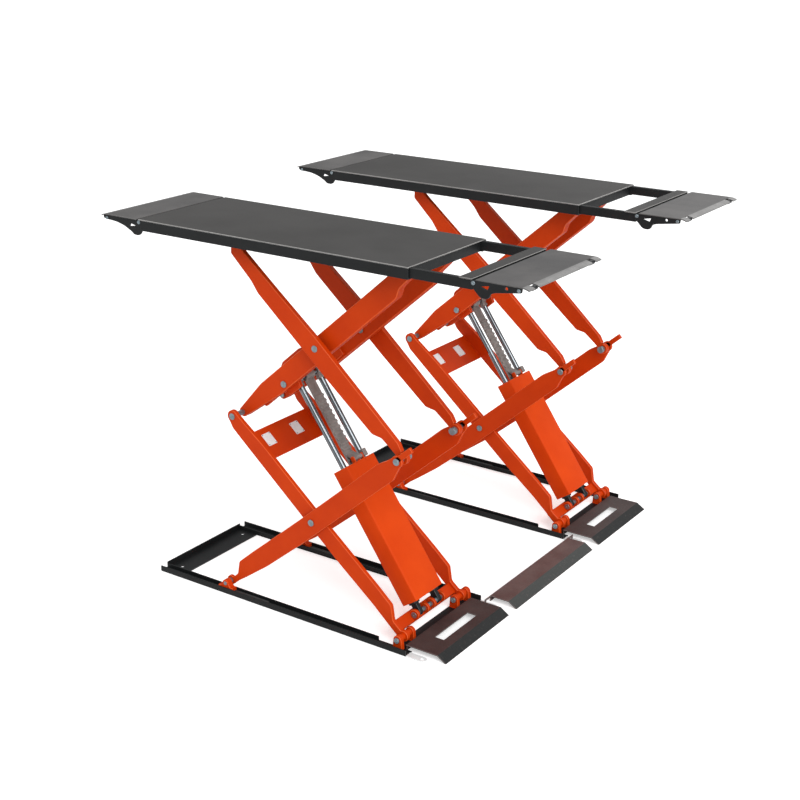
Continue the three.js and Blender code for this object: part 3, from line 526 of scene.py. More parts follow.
def stepped(
    places: Sequence[float],
    radii: Sequence[float],
    axis: Axis = Axis.ACROSS,
    chamfer: float = 1.2,
    dimple: float = 3.0,
) -> Shell:
    """A turned pin: one cylinder after another, each with its ends cut at 45 degrees, and a
    centre-drill dimple in both end faces.

    Args:
        places: where the cylinders begin along the axis, and where the last one ends.
        radii: the radius of each cylinder.
        axis: the way that its axis runs.
        chamfer: width of the cut ends.
        dimple: radius and depth of the dimples.

    Returns:
        A closed Shell.
    """
    first, last, point = places[0], places[-1], 0.2
    profile = [(first + dimple, point), (first, dimple)]
    for start, end, radius in zip(places, places[1:], radii):
        cut = min(chamfer, (end - start) / 3)
        profile += [(start, radius - cut), (start + cut, radius)]
        profile += [(end - cut, radius), (end, radius - cut)]
    profile += [(last, dimple), (last - dimple, point)]
    return turned(profile, axis)


def capped(places: Sequence[float], radii: Sequence[float], side: Side) -> Shell:
    """A stepped pin on one side of the unit, given by its places outwards from the middle.

    Args:
        places: where its cylinders begin and the last one ends, outwards.
        radii: the radius of each cylinder.
        side: the side of the unit.

    Returns:
        A closed Shell.
    """
    if side is Side.FAR:
        return stepped(places, radii)
    return stepped([-place for place in reversed(places)], radii[::-1])


def headed(reach: float, head: float, radii: Pair) -> Shell:
    """A pin through the whole unit with a head at each end.

    Args:
        reach: from the unit's middle to each head.
        head: the heads' length.
        radii: of the shank, and of the heads.

    Returns:
        A closed Shell.
    """
    shank, wide = radii
    return stepped([-reach - head, -reach, reach, reach + head], [wide, shank, wide])


def bead(start: Sequence[float], end: Sequence[float], radius: float = 3.0) -> Shell:
    """A weld bead: a thin tube along a line whose radius ripples with the place along it.

    Args:
        start: local point where it begins.
        end: local point where it ends.
        radius: its mean radius.

    Returns:
        A closed Shell.
    """
    ripple, waves_per_mm, end_share = 0.12, 1.6, 0.3
    ring_spacing, sides, aslant = 3.0, 8, (0.3, 0.9, 0.2)
    a, b = np.array(start, float), np.array(end, float)
    length = np.linalg.norm(b - a)
    count = max(8, int(length / ring_spacing))
    t = np.linspace(0, 1, count)
    swell = radius * (1 + ripple * np.sin(t * length * waves_per_mm))
    swell[[0, -1]] = radius * end_share
    direction = (b - a) / length
    side = np.cross(direction, aslant)
    side /= np.linalg.norm(side)
    other = np.cross(direction, side)
    turn = np.linspace(0, 2 * math.pi, sides, endpoint=False)
    circle = np.cos(turn)[:, None] * side + np.sin(turn)[:, None] * other
    grid = a + t[:, None, None] * (b - a) + swell[:, None, None] * circle
    shape = turned(np.c_[t, np.ones(count)], Axis.LENGTHWISE, sides)
    points = np.vstack([grid.reshape(-1, 3), a, b])
    return Shell(points, shape.quads, shape.rims, shape.tris).facing_out()


# Finishes

MIX_A, MIX_B, MIX_RESULT = 6, 7, 2  # a colour mix's sockets, by place
PATCH_SPREAD = (0.35, 0.65)  # the noise values between which each pattern goes from end to end
GRAIN_SPREAD = (0.3, 0.7)
SPECK_SPREAD = (0.56, 0.7)


def linear(code: str) -> tuple[float, float, float, float]:
    """An sRGB hex colour as linear light.

    Args:
        code: the colour, as #rrggbb.

    Returns:
        Linear red, green and blue, and a full alpha.
    """
    value = np.array([int(code[k : k + 2], 16) for k in (1, 3, 5)]) / 255
    light = np.where(value <= 0.04045, value / 12.92, ((value + 0.055) / 1.055) ** 2.4)
    return (*map(float, light), 1.0)


def add_node(
    tree: bpy.types.NodeTree,
    kind: str,
    settings: dict[str | int, object] | None = None,
    links: dict[str | int, bpy.types.NodeSocket] | None = None,
) -> bpy.types.Node:
    """Adds a shader node.

    Args:
        tree: the material's node tree.
        kind: the node's type name.
        settings: values by attribute name or, failing that, by input name or place.
        links: sockets to join, by input name or place.

    Returns:
        The new node.
    """
    node = tree.nodes.new(kind)
    for name, value in (settings or {}).items():
        if isinstance(name, str) and hasattr(node, name):
            setattr(node, name, value)
        else:
            node.inputs[name].default_value = value
    for name, socket in (links or {}).items():
        tree.links.new(socket, node.inputs[name])
    return node


@dataclass(frozen=True)
class Finish:
    """A surface as its maker would order it.

    Colour drifts between two shades in soft patches, and one fine noise gives both the grain's
    bump and the roughness. Sizes are those of the real surface in millimetres.
    """

    name: str
    shade: str
    second: str
    roughness: tuple[float, float]
    metallic: float = 0.0
    patch_mm: float = 220.0
    grain_mm: float = 3.0
    grain_depth_mm: float = 0.02
    grain_strength: float = 0.35
    coat: float = 0.0
    coat_roughness: float = 0.2
    speck: str = ""
    speck_mm: float = 4.0
    speck_share: float = 0.3
    specular: float = 0.5
    glow: float = 0.0
    # a painted shade for a bent sheet's slope past its crest
    slope_shade: str = ""
    slope_from_mm: float = 750.5

    def material(self) -> bpy.types.Material:
        """Builds the node material, once.

        Returns:
            The material of this finish's name.
        """
        known = bpy.data.materials.get(self.name)
        if known:
            return known
        made = bpy.data.materials.new(self.name)
        made.use_nodes = True
        tree = made.node_tree
        shader = tree.nodes["Principled BSDF"]
        place = add_node(tree, "ShaderNodeTexCoord").outputs["Object"]
        patches = add_node(
            tree,
            "ShaderNodeTexNoise",
            {"Scale": 1 / (self.patch_mm * MM), "Detail": 4.0, "Roughness": 0.55},
            {"Vector": place},
        )
        fine = add_node(
            tree,
            "ShaderNodeTexNoise",
            {"Scale": 1 / (self.grain_mm * MM), "Detail": 3.0, "Roughness": 0.6},
            {"Vector": place},
        )
        drift = add_node(
            tree,
            "ShaderNodeMapRange",
            {"From Min": PATCH_SPREAD[0], "From Max": PATCH_SPREAD[1]},
            {"Value": patches.outputs["Fac"]},
        )
        base = add_node(
            tree,
            "ShaderNodeMix",
            {"data_type": "RGBA", MIX_A: linear(self.shade), MIX_B: linear(self.second)},
            {"Factor": drift.outputs["Result"]},
        ).outputs[MIX_RESULT]
        # Painted shade: past the crest the colour turns darker, in place of the slope turned away
        # from the light.
        if self.slope_shade:
            base = self.with_slope(tree, place, base)
        if self.speck:
            base = self.with_specks(tree, place, base)
        tree.links.new(base, shader.inputs["Base Color"])
        rough = add_node(
            tree,
            "ShaderNodeMapRange",
            {
                "From Min": GRAIN_SPREAD[0],
                "From Max": GRAIN_SPREAD[1],
                "To Min": self.roughness[0],
                "To Max": self.roughness[1],
            },
            {"Value": fine.outputs["Fac"]},
        )
        tree.links.new(rough.outputs["Result"], shader.inputs["Roughness"])
        bump = add_node(
            tree,
            "ShaderNodeBump",
            {"Strength": self.grain_strength, "Distance": self.grain_depth_mm * MM},
            {"Height": fine.outputs["Fac"]},
        )
        tree.links.new(bump.outputs["Normal"], shader.inputs["Normal"])
        for name, value in (
            ("Metallic", self.metallic),
            ("Coat Weight", self.coat),
            ("Coat Roughness", self.coat_roughness),
            ("Specular IOR Level", self.specular),
        ):
            shader.inputs[name].default_value = value
        if self.glow:
            seen = add_node(tree, "ShaderNodeLightPath").outputs["Is Camera Ray"]
            shown = add_node(
                tree, "ShaderNodeMapRange", {"To Max": self.glow}, {"Value": seen}
            ).outputs["Result"]
            shader.inputs["Emission Color"].default_value = linear("#ffffff")
            tree.links.new(shown, shader.inputs["Emission Strength"])
        return made

    def with_slope(
        self,
        tree: bpy.types.NodeTree,
        place: bpy.types.NodeSocket,
        base: bpy.types.NodeSocket,
    ) -> bpy.types.NodeSocket:
        """Mixes a painted shade into the colour where a bent sheet runs down past its crest.

        Args:
            tree: the material's node tree.
            place: the coordinates' socket.
            base: the colour so far.

        Returns:
            The mixed colour's socket.
        """
        parts = add_node(tree, "ShaderNodeSeparateXYZ", links={"Vector": place})
        crest = self.slope_from_mm * MM
        past = add_node(
            tree,
            "ShaderNodeMapRange",
            {"From Min": crest - MM, "From Max": crest + MM},
            {"Value": parts.outputs["X"]},
        )
        return add_node(
            tree,
            "ShaderNodeMix",
            {"data_type": "RGBA", MIX_B: linear(self.slope_shade)},
            {"Factor": past.outputs["Result"], MIX_A: base},
        ).outputs[MIX_RESULT]

    def with_specks(
        self,
        tree: bpy.types.NodeTree,
        place: bpy.types.NodeSocket,
        base: bpy.types.NodeSocket,
    ) -> bpy.types.NodeSocket:
        """Mixes small marks of another shade into the colour.

        Args:
            tree: the material's node tree.
            place: the coordinates' socket.
            base: the colour so far.

        Returns:
            The mixed colour's socket.
        """
        marks = add_node(
            tree,
            "ShaderNodeTexNoise",
            {"Scale": 1 / (self.speck_mm * MM), "Detail": 6.0, "Roughness": 0.7},
            {"Vector": place},
        )
        shown = add_node(
            tree,
            "ShaderNodeMapRange",
            {
                "From Min": SPECK_SPREAD[0],
                "From Max": SPECK_SPREAD[1],
                "To Max": self.speck_share,
            },
            {"Value": marks.outputs["Fac"]},
        )
        return add_node(
            tree,
            "ShaderNodeMix",
            {"data_type": "RGBA", MIX_B: linear(self.speck)},
            {"Factor": shown.outputs["Result"], MIX_A: base},
        ).outputs[MIX_RESULT]



# Powder coat on steel: semi-gloss, with a faint orange peel of about 3 mm, drawn at 5 mm.
ORANGE = Finish(
    "powder_coated_orange_steel", "#cf3e02", "#c63802", (0.46, 0.58), grain_mm=5.0,
    specular=0.12,
)
# The same coat on the cylinder covers, painted brighter than the arms': painted light, a lit copy
# of the arms' orange.
PAINTED_LIGHT_ORANGE = Finish(
    "fresh_powder_coated_orange_steel", "#dd4706", "#d54104", (0.46, 0.58), grain_mm=5.0,
    specular=0.12,
)
# The same coat on the cut rims, painted lighter and smoother: a painted highlight along the
# edges.
ORANGE_RIM_HIGHLIGHT = Finish(
    "powder_coated_orange_rim", "#e65f26", "#dc521a", (0.4, 0.5), grain_mm=5.0, specular=0.3,
    patch_mm=60.0,
)
# Fine-textured coat on the decks: matt, grit of about 1 mm, drawn at 3 mm.
DECK_GREY = Finish(
    "textured_grey_powder_coat", "#454443", "#3c3b3a", (0.5, 0.68), grain_mm=3.0,
    grain_depth_mm=0.12, speck="#67635f", speck_mm=3.0, speck_share=0.25, patch_mm=400.0,
    specular=0.35,
)
# The deck coat on rims and bends, painted pale: a painted highlight along the edges.
DECK_RIM_HIGHLIGHT = Finish(
    "textured_grey_rim", "#bcbab8", "#a8a6a4", (0.45, 0.6), grain_mm=3.0, grain_depth_mm=0.08
)
# The same coat on the flaps, painted paler: a painted reflection off their sheets.
FLAP_GREY_PAINTED_SHEEN = Finish(
    "wheel_worn_grey_powder_coat", "#4b4a4a", "#605e5d", (0.46, 0.62), grain_mm=3.0,
    grain_depth_mm=0.1, speck="#83807c", speck_mm=3.0, speck_share=0.2, patch_mm=240.0,
)
# The flaps' tips and rims, painted pale and near bare: a painted highlight where the bent tip
# catches the light.
FLAP_TIP_HIGHLIGHT = Finish(
    "wheel_worn_tip", "#7f7e7d", "#8e8d8c", (0.4, 0.55), metallic=0.2, grain_mm=3.0,
    grain_depth_mm=0.06, patch_mm=60.0,
)
# Stoved enamel on rails and skirts: near black with a soft shine.
BLACK_ENAMEL = Finish(
    "stoved_black_enamel", "#161819", "#1d1f20", (0.4, 0.54), grain_mm=6.0, specular=0.22
)
# The black enamel on rims and bends, painted lighter grey: a painted highlight along the edges.
BLACK_RIM_HIGHLIGHT = Finish("stoved_black_rim", "#474a4b", "#3b3e3f", (0.35, 0.5), grain_mm=6.0)
# The cover between the units: brown enamel that shoes have scuffed, with a painted shade, darker
# and greyer, on the slope past its crest.
BROWN_ENAMEL = Finish(
    "scuffed_brown_enamel", "#523c39", "#655350", (0.4, 0.58), grain_mm=4.0,
    speck="#857773", speck_mm=14.0, speck_share=0.3, patch_mm=160.0, coat=0.1,
    slope_shade="#303331",
)
# The units' own covers: the same enamel, darker and less worn, with a darker painted shade on the
# slope past the crest.
DARK_BROWN_ENAMEL = Finish(
    "dark_brown_enamel", "#3b2c2a", "#473937", (0.4, 0.58), grain_mm=4.0,
    speck="#6f6461", speck_mm=14.0, speck_share=0.25, patch_mm=160.0, specular=0.35,
    slope_shade="#1c1e1e",
)
# The brown enamel on rims and bends, painted lighter: a painted highlight along the edges.
BROWN_RIM_HIGHLIGHT = Finish("scuffed_brown_rim", "#6e6462", "#7a706d", (0.4, 0.55), grain_mm=4.0)
# Turned and zinc-plated pins: blue-grey metal with fine tool marks.
PIN_STEEL = Finish(
    "turned_zinc_plated_steel", "#93a0a6", "#7d8a90", (0.28, 0.45), metallic=0.75,
    grain_mm=1.6, grain_depth_mm=0.05, patch_mm=18.0,
)
# Hard chrome on the piston rods: a mirror with a thin film of oil.
ROD_CHROME = Finish(
    "polished_hard_chrome", "#82888c", "#74797d", (0.1, 0.2), metallic=1.0,
    grain_mm=20.0, grain_depth_mm=0.01, grain_strength=0.1, patch_mm=90.0,
)
# Blackened steel on barrels and pawl.
BLACK_STEEL = Finish(
    "blackened_steel", "#1b1c1e", "#26282a", (0.35, 0.55), metallic=0.4, grain_mm=3.0
)
# Milled rack: warm grey steel, its teeth catching the light.
RACK_STEEL = Finish(
    "milled_rack_steel", "#9a9490", "#837d79", (0.38, 0.55), metallic=0.35, grain_mm=2.0,
    grain_depth_mm=0.06, patch_mm=40.0,
)
# Galvanised fixing plates: pale, faintly spangled zinc.
GALVANISED = Finish(
    "galvanised_sheet", "#f6f9f9", "#eceff0", (0.45, 0.6), metallic=0.1, patch_mm=10.0
)
# Sliding pads: cast nylon, dull and waxy.
NYLON = Finish("cast_nylon", "#2c2d2e", "#353637", (0.45, 0.6), grain_mm=4.0)


@dataclass(frozen=True)
class Coat:
    """A piece's finish, its rims' finish, and the record's slot that it stands for; the slot is
    not used.
    """

    face: Finish
    rim: Finish
    slot: str


ORANGE_COAT = Coat(ORANGE, ORANGE_RIM_HIGHLIGHT, "orange_paint")
COVER_COAT = Coat(PAINTED_LIGHT_ORANGE, ORANGE_RIM_HIGHLIGHT, "orange_paint")
DECK_COAT = Coat(DECK_GREY, DECK_RIM_HIGHLIGHT, "deck_paint")
FLAP_COAT = Coat(FLAP_GREY_PAINTED_SHEEN, FLAP_TIP_HIGHLIGHT, "deck_paint")
BLACK_COAT = Coat(BLACK_ENAMEL, BLACK_RIM_HIGHLIGHT, "dark_paint")
BROWN_COAT = Coat(BROWN_ENAMEL, BROWN_RIM_HIGHLIGHT, "brown_paint")
DARK_BROWN_COAT = Coat(DARK_BROWN_ENAMEL, BROWN_RIM_HIGHLIGHT, "brown_paint")
PIN_COAT = Coat(PIN_STEEL, PIN_STEEL, "pin_steel")
CHROME_COAT = Coat(ROD_CHROME, ROD_CHROME, "rod_chrome")
BARREL_COAT = Coat(BLACK_STEEL, BLACK_RIM_HIGHLIGHT, "black_steel")
RACK_COAT = Coat(RACK_STEEL, RACK_STEEL, "pin_steel")
ZINC_COAT = Coat(GALVANISED, GALVANISED, "pin_steel")
PAWL_COAT = Coat(RACK_STEEL, RACK_STEEL, "black_steel")
ROLLER_COAT = Coat(BLACK_STEEL, BLACK_STEEL, "pin_steel")
NYLON_COAT = Coat(NYLON, NYLON, "black_steel")


@dataclass(frozen=True)
class Unit:
    """One of the two lift units."""

    prefix: str
    y: float

    def named(self, name: str) -> str:
        """The full name of a node, body or piece of this unit."""
        return f"{self.prefix}_{name}"


@dataclass
class Bench:
    """Where pieces are finished: it makes the objects, dresses them and reports each one."""

    frame: dict
    count: int = 0
    crisp_from: float = math.radians(28)  # edges bent by more than this are shaded sharp
    one_point: float = 0.01  # millimetres within which points are the same
    one_face: float = math.radians(0.5)  # faces bent by less than this become one
    bend_from: float = math.radians(40)  # edges bent by more than this get a soft bend

    def put(
        self,
        unit: Unit,
        name: str,
        shell: Shell,
        place: Place,
        coat: Coat,
        body: str,
        stands_for: str = "",
    ) -> None:
        """Makes one finished piece of a unit, as an object at the origin.

        Args:
            unit: the unit that it belongs to.
            name: the piece's own name.
            shell: its surface in local millimetres.
            place: where its local frame stands.
            coat: its finish.
            body: the unit's body that it rides on, or floor.
            stands_for: the node of the unit that it replaces, if any.
        """
        points = place.metres(shell.points, unit.y)
        faced = Shell(points, shell.quads, shell.rims, shell.tris).facing_out()
        mesh = bpy.data.meshes.new(unit.named(name))
        faces = faced.quads.tolist() + faced.tris.tolist()
        mesh.from_pydata(faced.points.tolist(), [], faces)
        # Cut rims take the coat's rim finish, which in most coats is a painted highlight.
        slots = np.concatenate([faced.rims.astype(int), np.zeros(len(faced.tris), int)])
        mesh.materials.append(coat.face.material())
        mesh.materials.append(coat.rim.material())
        mesh.polygons.foreach_set("material_index", slots.astype(np.int32))
        mesh.shade_smooth()
        mesh.set_sharp_from_angle(angle=self.crisp_from)
        mesh.update()
        made = bpy.data.objects.new(unit.named(name) + "_look", mesh)
        bpy.context.scene.collection.objects.link(made)
        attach(made, body if body == "floor" else unit.named(body))
        if stands_for:
            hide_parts(unit.named(stands_for))
        self.count += 1
        log.info("%s: %d faces on %s", made.name, len(faces), body)

    def dress(self, node: str, coat: Coat, bend: float, clamp: bool = True) -> None:
        """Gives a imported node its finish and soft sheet-metal bends, by modifiers alone.

        Args:
            node: the node's full name.
            coat: its finish.
            bend: how far its bends reach, in millimetres.
            clamp: False where the clamp would shrink every bend to nothing.
        """
        made = self.frame["nodes"][node]
        made.data.materials.clear()
        made.data.materials.append(coat.face.material())
        made.data.materials.append(coat.rim.material())
        weld = made.modifiers.new("weld", "WELD")
        weld.merge_threshold = self.one_point * MM
        flat = made.modifiers.new("flat", "DECIMATE")
        flat.decimate_type = "DISSOLVE"
        flat.angle_limit = self.one_face
        bevel = made.modifiers.new("bends", "BEVEL")
        bevel.width = bend * MM
        bevel.use_clamp_overlap = clamp
        bevel.segments = 2
        bevel.limit_method = "ANGLE"
        bevel.angle_limit = self.bend_from
        # The bends take the rim finish: a painted highlight along them.
        bevel.material = 1
        self.count += 1
        log.info("%s: packed node with %.1f mm bends", node, bend)


@dataclass(frozen=True)
class Bar:
    """A flat arm, cheek or shoe: its lower and upper edge as heights over the place along it,
    its round eyes, and its layer across the unit."""

    low: Edge
    high: Edge
    eyes: tuple[tuple[float, float, float], ...]
    layer: Layer
    chamfer: float = 2.0
    easing: float = 16.0

    def on(self, side: Side) -> Shell:
        """The bar's plate on one side of the unit."""
        outline = bar_outline(self.low, self.high, self.eyes, self.easing)
        return plate([outline], *self.layer.on(side), self.chamfer)


@dataclass
class SubAssembly:
    """A group of pieces of one unit that are made together."""

    bench: Bench
    unit: Unit

    def build(self) -> None:
        """Makes the group's pieces."""
        raise NotImplementedError

    def put(
        self, name: str, shell: Shell, place: Place, coat: Coat, body: str, node: str = ""
    ) -> None:
        """Makes one finished piece of this unit, as Bench.put says."""
        self.bench.put(self.unit, name, shell, place, coat, body, node)


@dataclass
class FloorFrame(SubAssembly):
    """Black floor rails and channel, orange pivot cheeks, base pins and the ramp cover."""

    rail: Layer = Layer(276.0, 328.0)
    rail_reach: Pair = (-1430.0, 66.0)
    rail_easing: tuple[float, ...] = (1.0, 5.0, 1.5, 1.5, 2.5, 1.0)
    sheet: float = 6.0
    web: float = 30.0
    guide_reach: Pair = (-1424.0, -116.0)
    guide: float = 25.0
    channel_depth: float = 126.0
    channel_half: float = 282.0
    channel_web: float = 34.0
    channel_holes: Pair = (61.0, 235.0)  # from the channel's back, and to each side
    pivot_bar: Pair = (-28.0, 34.0)
    hole: float = 9.0
    cheek_edge: Edge = ((-26.0, 0.0), (-22.0, 50.0), (22.0, 50.0), (26.0, 0.0))
    cheek: float = 22.0
    weld_end: float = 25.0
    weld_height: float = 7.5
    weld: float = 2.6
    ear_middle: float = 308.0
    ear_half: float = 20.0
    ear_end: float = 144.0
    ear_gap: float = 0.1  # between the rail's end and the ear
    pin_head: float = 8.0
    pin_radii: tuple[float, ...] = (14.0, 10.0, 14.0)

    def build(self) -> None:
        """Makes the rails, the cheeks, the pins and the cover."""
        rails = joined([self.rail_on(side) for side in Side] + self.cross_members())
        self.put("floor_rails", rails, FLOOR, BLACK_COAT, "floor", "floor_frame")
        cheeks = joined([shape for side in Side for shape in self.cheeks_on(side)])
        self.put("pivot_cheeks", cheeks, FLOOR, ORANGE_COAT, "floor")
        ears = joined([self.ear_on(side) for side in Side])
        self.put("rail_ears", ears, FLOOR, ZINC_COAT, "floor")
        inner, outer = INNER_CHEEK.inner - SEAT_GAP, OUTER_CHEEK.outer + SEAT_GAP
        places = (inner - self.pin_head, inner, outer, outer + self.pin_head)
        for side in Side:
            name = f"{side.word}_base_pin"
            self.put(name, capped(places, self.pin_radii, side), BASE, PIN_COAT, "floor", name)
        self.bench.dress(self.unit.named("ramp_cover"), DARK_BROWN_COAT, COVER_BEND)

    def rail_on(self, side: Side) -> Shell:
        """One rail: an angle with a soft bend, and an inner guide strip.

        Args:
            side: the side of the unit.

        Returns:
            Both closed surfaces, joined.
        """
        inner, outer = self.rail.on(side)
        wall = side.value * self.sheet
        section = [
            (inner, 0.0), (outer, 0.0), (outer, self.web), (outer - wall, self.web),
            (outer - wall, self.sheet), (inner, self.sheet),
        ]
        angle = rounded(section, self.rail_easing)
        body = plate([angle], *self.rail_reach, SHEET_RIM, Plane.CROSS)
        across, up = (inner, inner + wall), (0.0, self.guide)
        guide = slab(
            self.guide_reach, across, up, corner=1.5, chamfer=SHEET_RIM, plane=Plane.CROSS
        )
        return joined([body, guide])

    def ear_on(self, side: Side) -> Shell:
        """The long bare ear at a rail's front end, with a round tip and its bolt hole.

        Args:
            side: the side of the unit.

        Returns:
            A closed Shell.
        """
        middle, half = side.value * self.ear_middle, self.ear_half
        turn = np.linspace(-math.pi / 2, math.pi / 2, 25)
        tip = np.c_[self.ear_end + half * np.cos(turn), middle + half * np.sin(turn)]
        start = self.rail_reach[1] + self.ear_gap
        lobe = np.vstack([[(start, middle - half)], tip, [(start, middle + half)]])
        hole = ring(self.ear_end, middle, self.hole)
        return plate([lobe, hole], 0.0, self.sheet, SHEET_RIM, Plane.FLAT)

    def cross_members(self) -> list[Shell]:
        """The rear channel with its two holes, and the bar under the cheeks.

        Returns:
            The channel's floor, its web and the bar.
        """
        back, half = self.rail_reach[0], self.channel_half
        place, aside = self.channel_holes
        floor = rectangle((back, -half), (back + self.channel_depth, half), 3.0)
        holes = [ring(back + place, y, self.hole) for y in (-aside, aside)]
        web, across = (back, back + self.sheet), (-half, half)
        return [
            plate([floor, *holes], 0.0, self.sheet, SHEET_RIM, Plane.FLAT),
            slab(web, across, (0.0, self.channel_web), corner=1.5),
            slab(self.pivot_bar, across, (0.0, self.sheet), corner=1.5, chamfer=SHEET_RIM),
        ]

    def cheeks_on(self, side: Side) -> list[Shell]:
        """One side's outer and inner round-topped cheek, each with weld beads at its foot.

        Args:
            side: the side of the unit.

        Returns:
            The cheeks, each followed by its two beads.
        """
        edge, end, height = self.cheek_edge, self.weld_end, self.weld_height
        eyes = ((0.0, PIVOT_HEIGHT, self.cheek),)
        shapes = []
        for layer in (OUTER_CHEEK, INNER_CHEEK):
            shapes.append(Bar((edge[0], edge[-1]), edge, eyes, layer, easing=1.0).on(side))
            shapes += [
                bead((-end, y, height), (end, y, height), self.weld) for y in layer.on(side)
            ]
        return shapes


@dataclass
class BaseArms(SubAssembly):
    """The lower arms on the base pins, with their sleeves, lug beam, lugs and stiffener."""

    bar: Bar = Bar(
        ((0, -27), (60, -27), (200, -26), (450, -37), (1201, -44), (1265, -44), (1305, -30)),
        (
            (0, 10), (23, 10), (80, 8), (140, 58), (250, 58), (671, 46), (1100, 40), (1250, 30),
            (1305, 28),
        ),
        ((0, 0, 27), (BASE_LENGTH, 0, 30)),
        BASE_LAYER,
    )
    sleeve: Layer = Layer(200.0, 276.0)
    sleeve_radius: float = 16.0
    beam: Pair = (25.0, 82.0)
    beam_half: float = 234.0
    beam_faces: Pair = (-44.0, -6.0)
    lug_low: Edge = ((22, 12), (35, -12), (74, -12))
    lug_high: Edge = ((22, 12), (74, 12))
    lug_radius: float = 26.0
    lug_weld: tuple[Pair, float, float] = ((36.0, 73.0), -5.0, 2.6)  # reach, height, radius
    lug_layers: tuple[Layer, ...] = (Layer(20.0, 36.0), Layer(104.0, 120.0))
    stiffener: Pair = (1040.0, 1205.0)
    stiffener_half: float = 232.5
    stiffener_faces: Pair = (-46.0, -40.0)
    stiffener_weld: Pair = (2.0, 1.5)  # from the stiffener's edges, and above it
    plate_middles: Edge = ((1139.0, -105.0), (1133.0, 102.0))
    plate_half: Pair = (34.0, 30.0)
    plate_faces: Pair = (-40.2, -38.0)
    screw_reach: Pair = (28.0, 24.0)
    screw: Edge = ((-38.2, 2.6), (-37.6, 2.6), (-37.4, 2.0), (-37.3, 0.3))

    def build(self) -> None:
        """Makes the weldment and the two fixing plates on its stiffener."""
        arms = [joined([self.bar.on(side), self.sleeve_on(side)]) for side in Side]
        parts = joined(arms + self.lug_beam() + self.tie_plate())
        self.put("base_arms", parts, BASE, ORANGE_COAT, "base_arms", "base_arms")
        self.put("fixing_plates", self.fixing_plates(), BASE, ZINC_COAT, "base_arms")
        self.put("fixing_screws", self.fixing_screws(), BASE, BARREL_COAT, "base_arms")

    def sleeve_on(self, side: Side) -> Shell:
        """The sleeve on which an arm turns round its base pin."""
        return capped((self.sleeve.inner, self.sleeve.outer), (self.sleeve_radius,), side)

    def lug_beam(self) -> list[Shell]:
        """The cross beam with its four round lugs, and a weld bead along each lug's faces.

        Returns:
            The beam, the lugs and the beads.
        """
        across = (-self.beam_half, self.beam_half)
        beam = slab(self.beam, across, self.beam_faces, corner=6.0, chamfer=2.0)
        eyes = ((*CYLINDER_LUG, self.lug_radius),)
        lugs = [Bar(self.lug_low, self.lug_high, eyes, k, easing=1.0) for k in self.lug_layers]
        faces = [y for side in Side for layer in self.lug_layers for y in layer.on(side)]
        (start, end), height, radius = self.lug_weld
        beads = [bead((start, y, height), (end, y, height), radius) for y in faces]
        return [beam, *(lug.on(side) for side in Side for lug in lugs), *beads]

    def tie_plate(self) -> list[Shell]:
        """The flat stiffener between the arms, with a weld bead at each end.

        Returns:
            The stiffener and its beads.
        """
        half, (start, end) = self.stiffener_half, self.stiffener
        inset, lift = self.stiffener_weld
        height = self.stiffener_faces[1] + lift
        faces = self.stiffener_faces
        tie = slab((start, end), (-half, half), faces, corner=6.0, chamfer=1.2, plane=Plane.FLAT)
        beads = [
            bead((start + inset, y, height), (end - inset, y, height))
            for y in (inset - half, half - inset)
        ]
        return [tie, *beads]

    def fixing_plates(self) -> Shell:
        """Two small bare plates on the stiffener's upper face.

        Returns:
            Both plates, joined.
        """
        a, b = self.plate_half
        faces = self.plate_faces
        small = slab((-a, a), (-b, b), faces, corner=4.0, chamfer=0.6, plane=Plane.FLAT)
        return joined([small.at(s, y) for s, y in self.plate_middles])

    def fixing_screws(self) -> Shell:
        """Four button-head screws in each fixing plate.

        Returns:
            All eight screws, joined.
        """
        a, b = self.screw_reach
        screw = turned(self.screw, Axis.UPWARD, sides=16)
        spots = [
            (s + u, y + v) for s, y in self.plate_middles for u in (-a, a) for v in (-b, b)
        ]
        return joined([screw.at(*spot) for spot in spots])


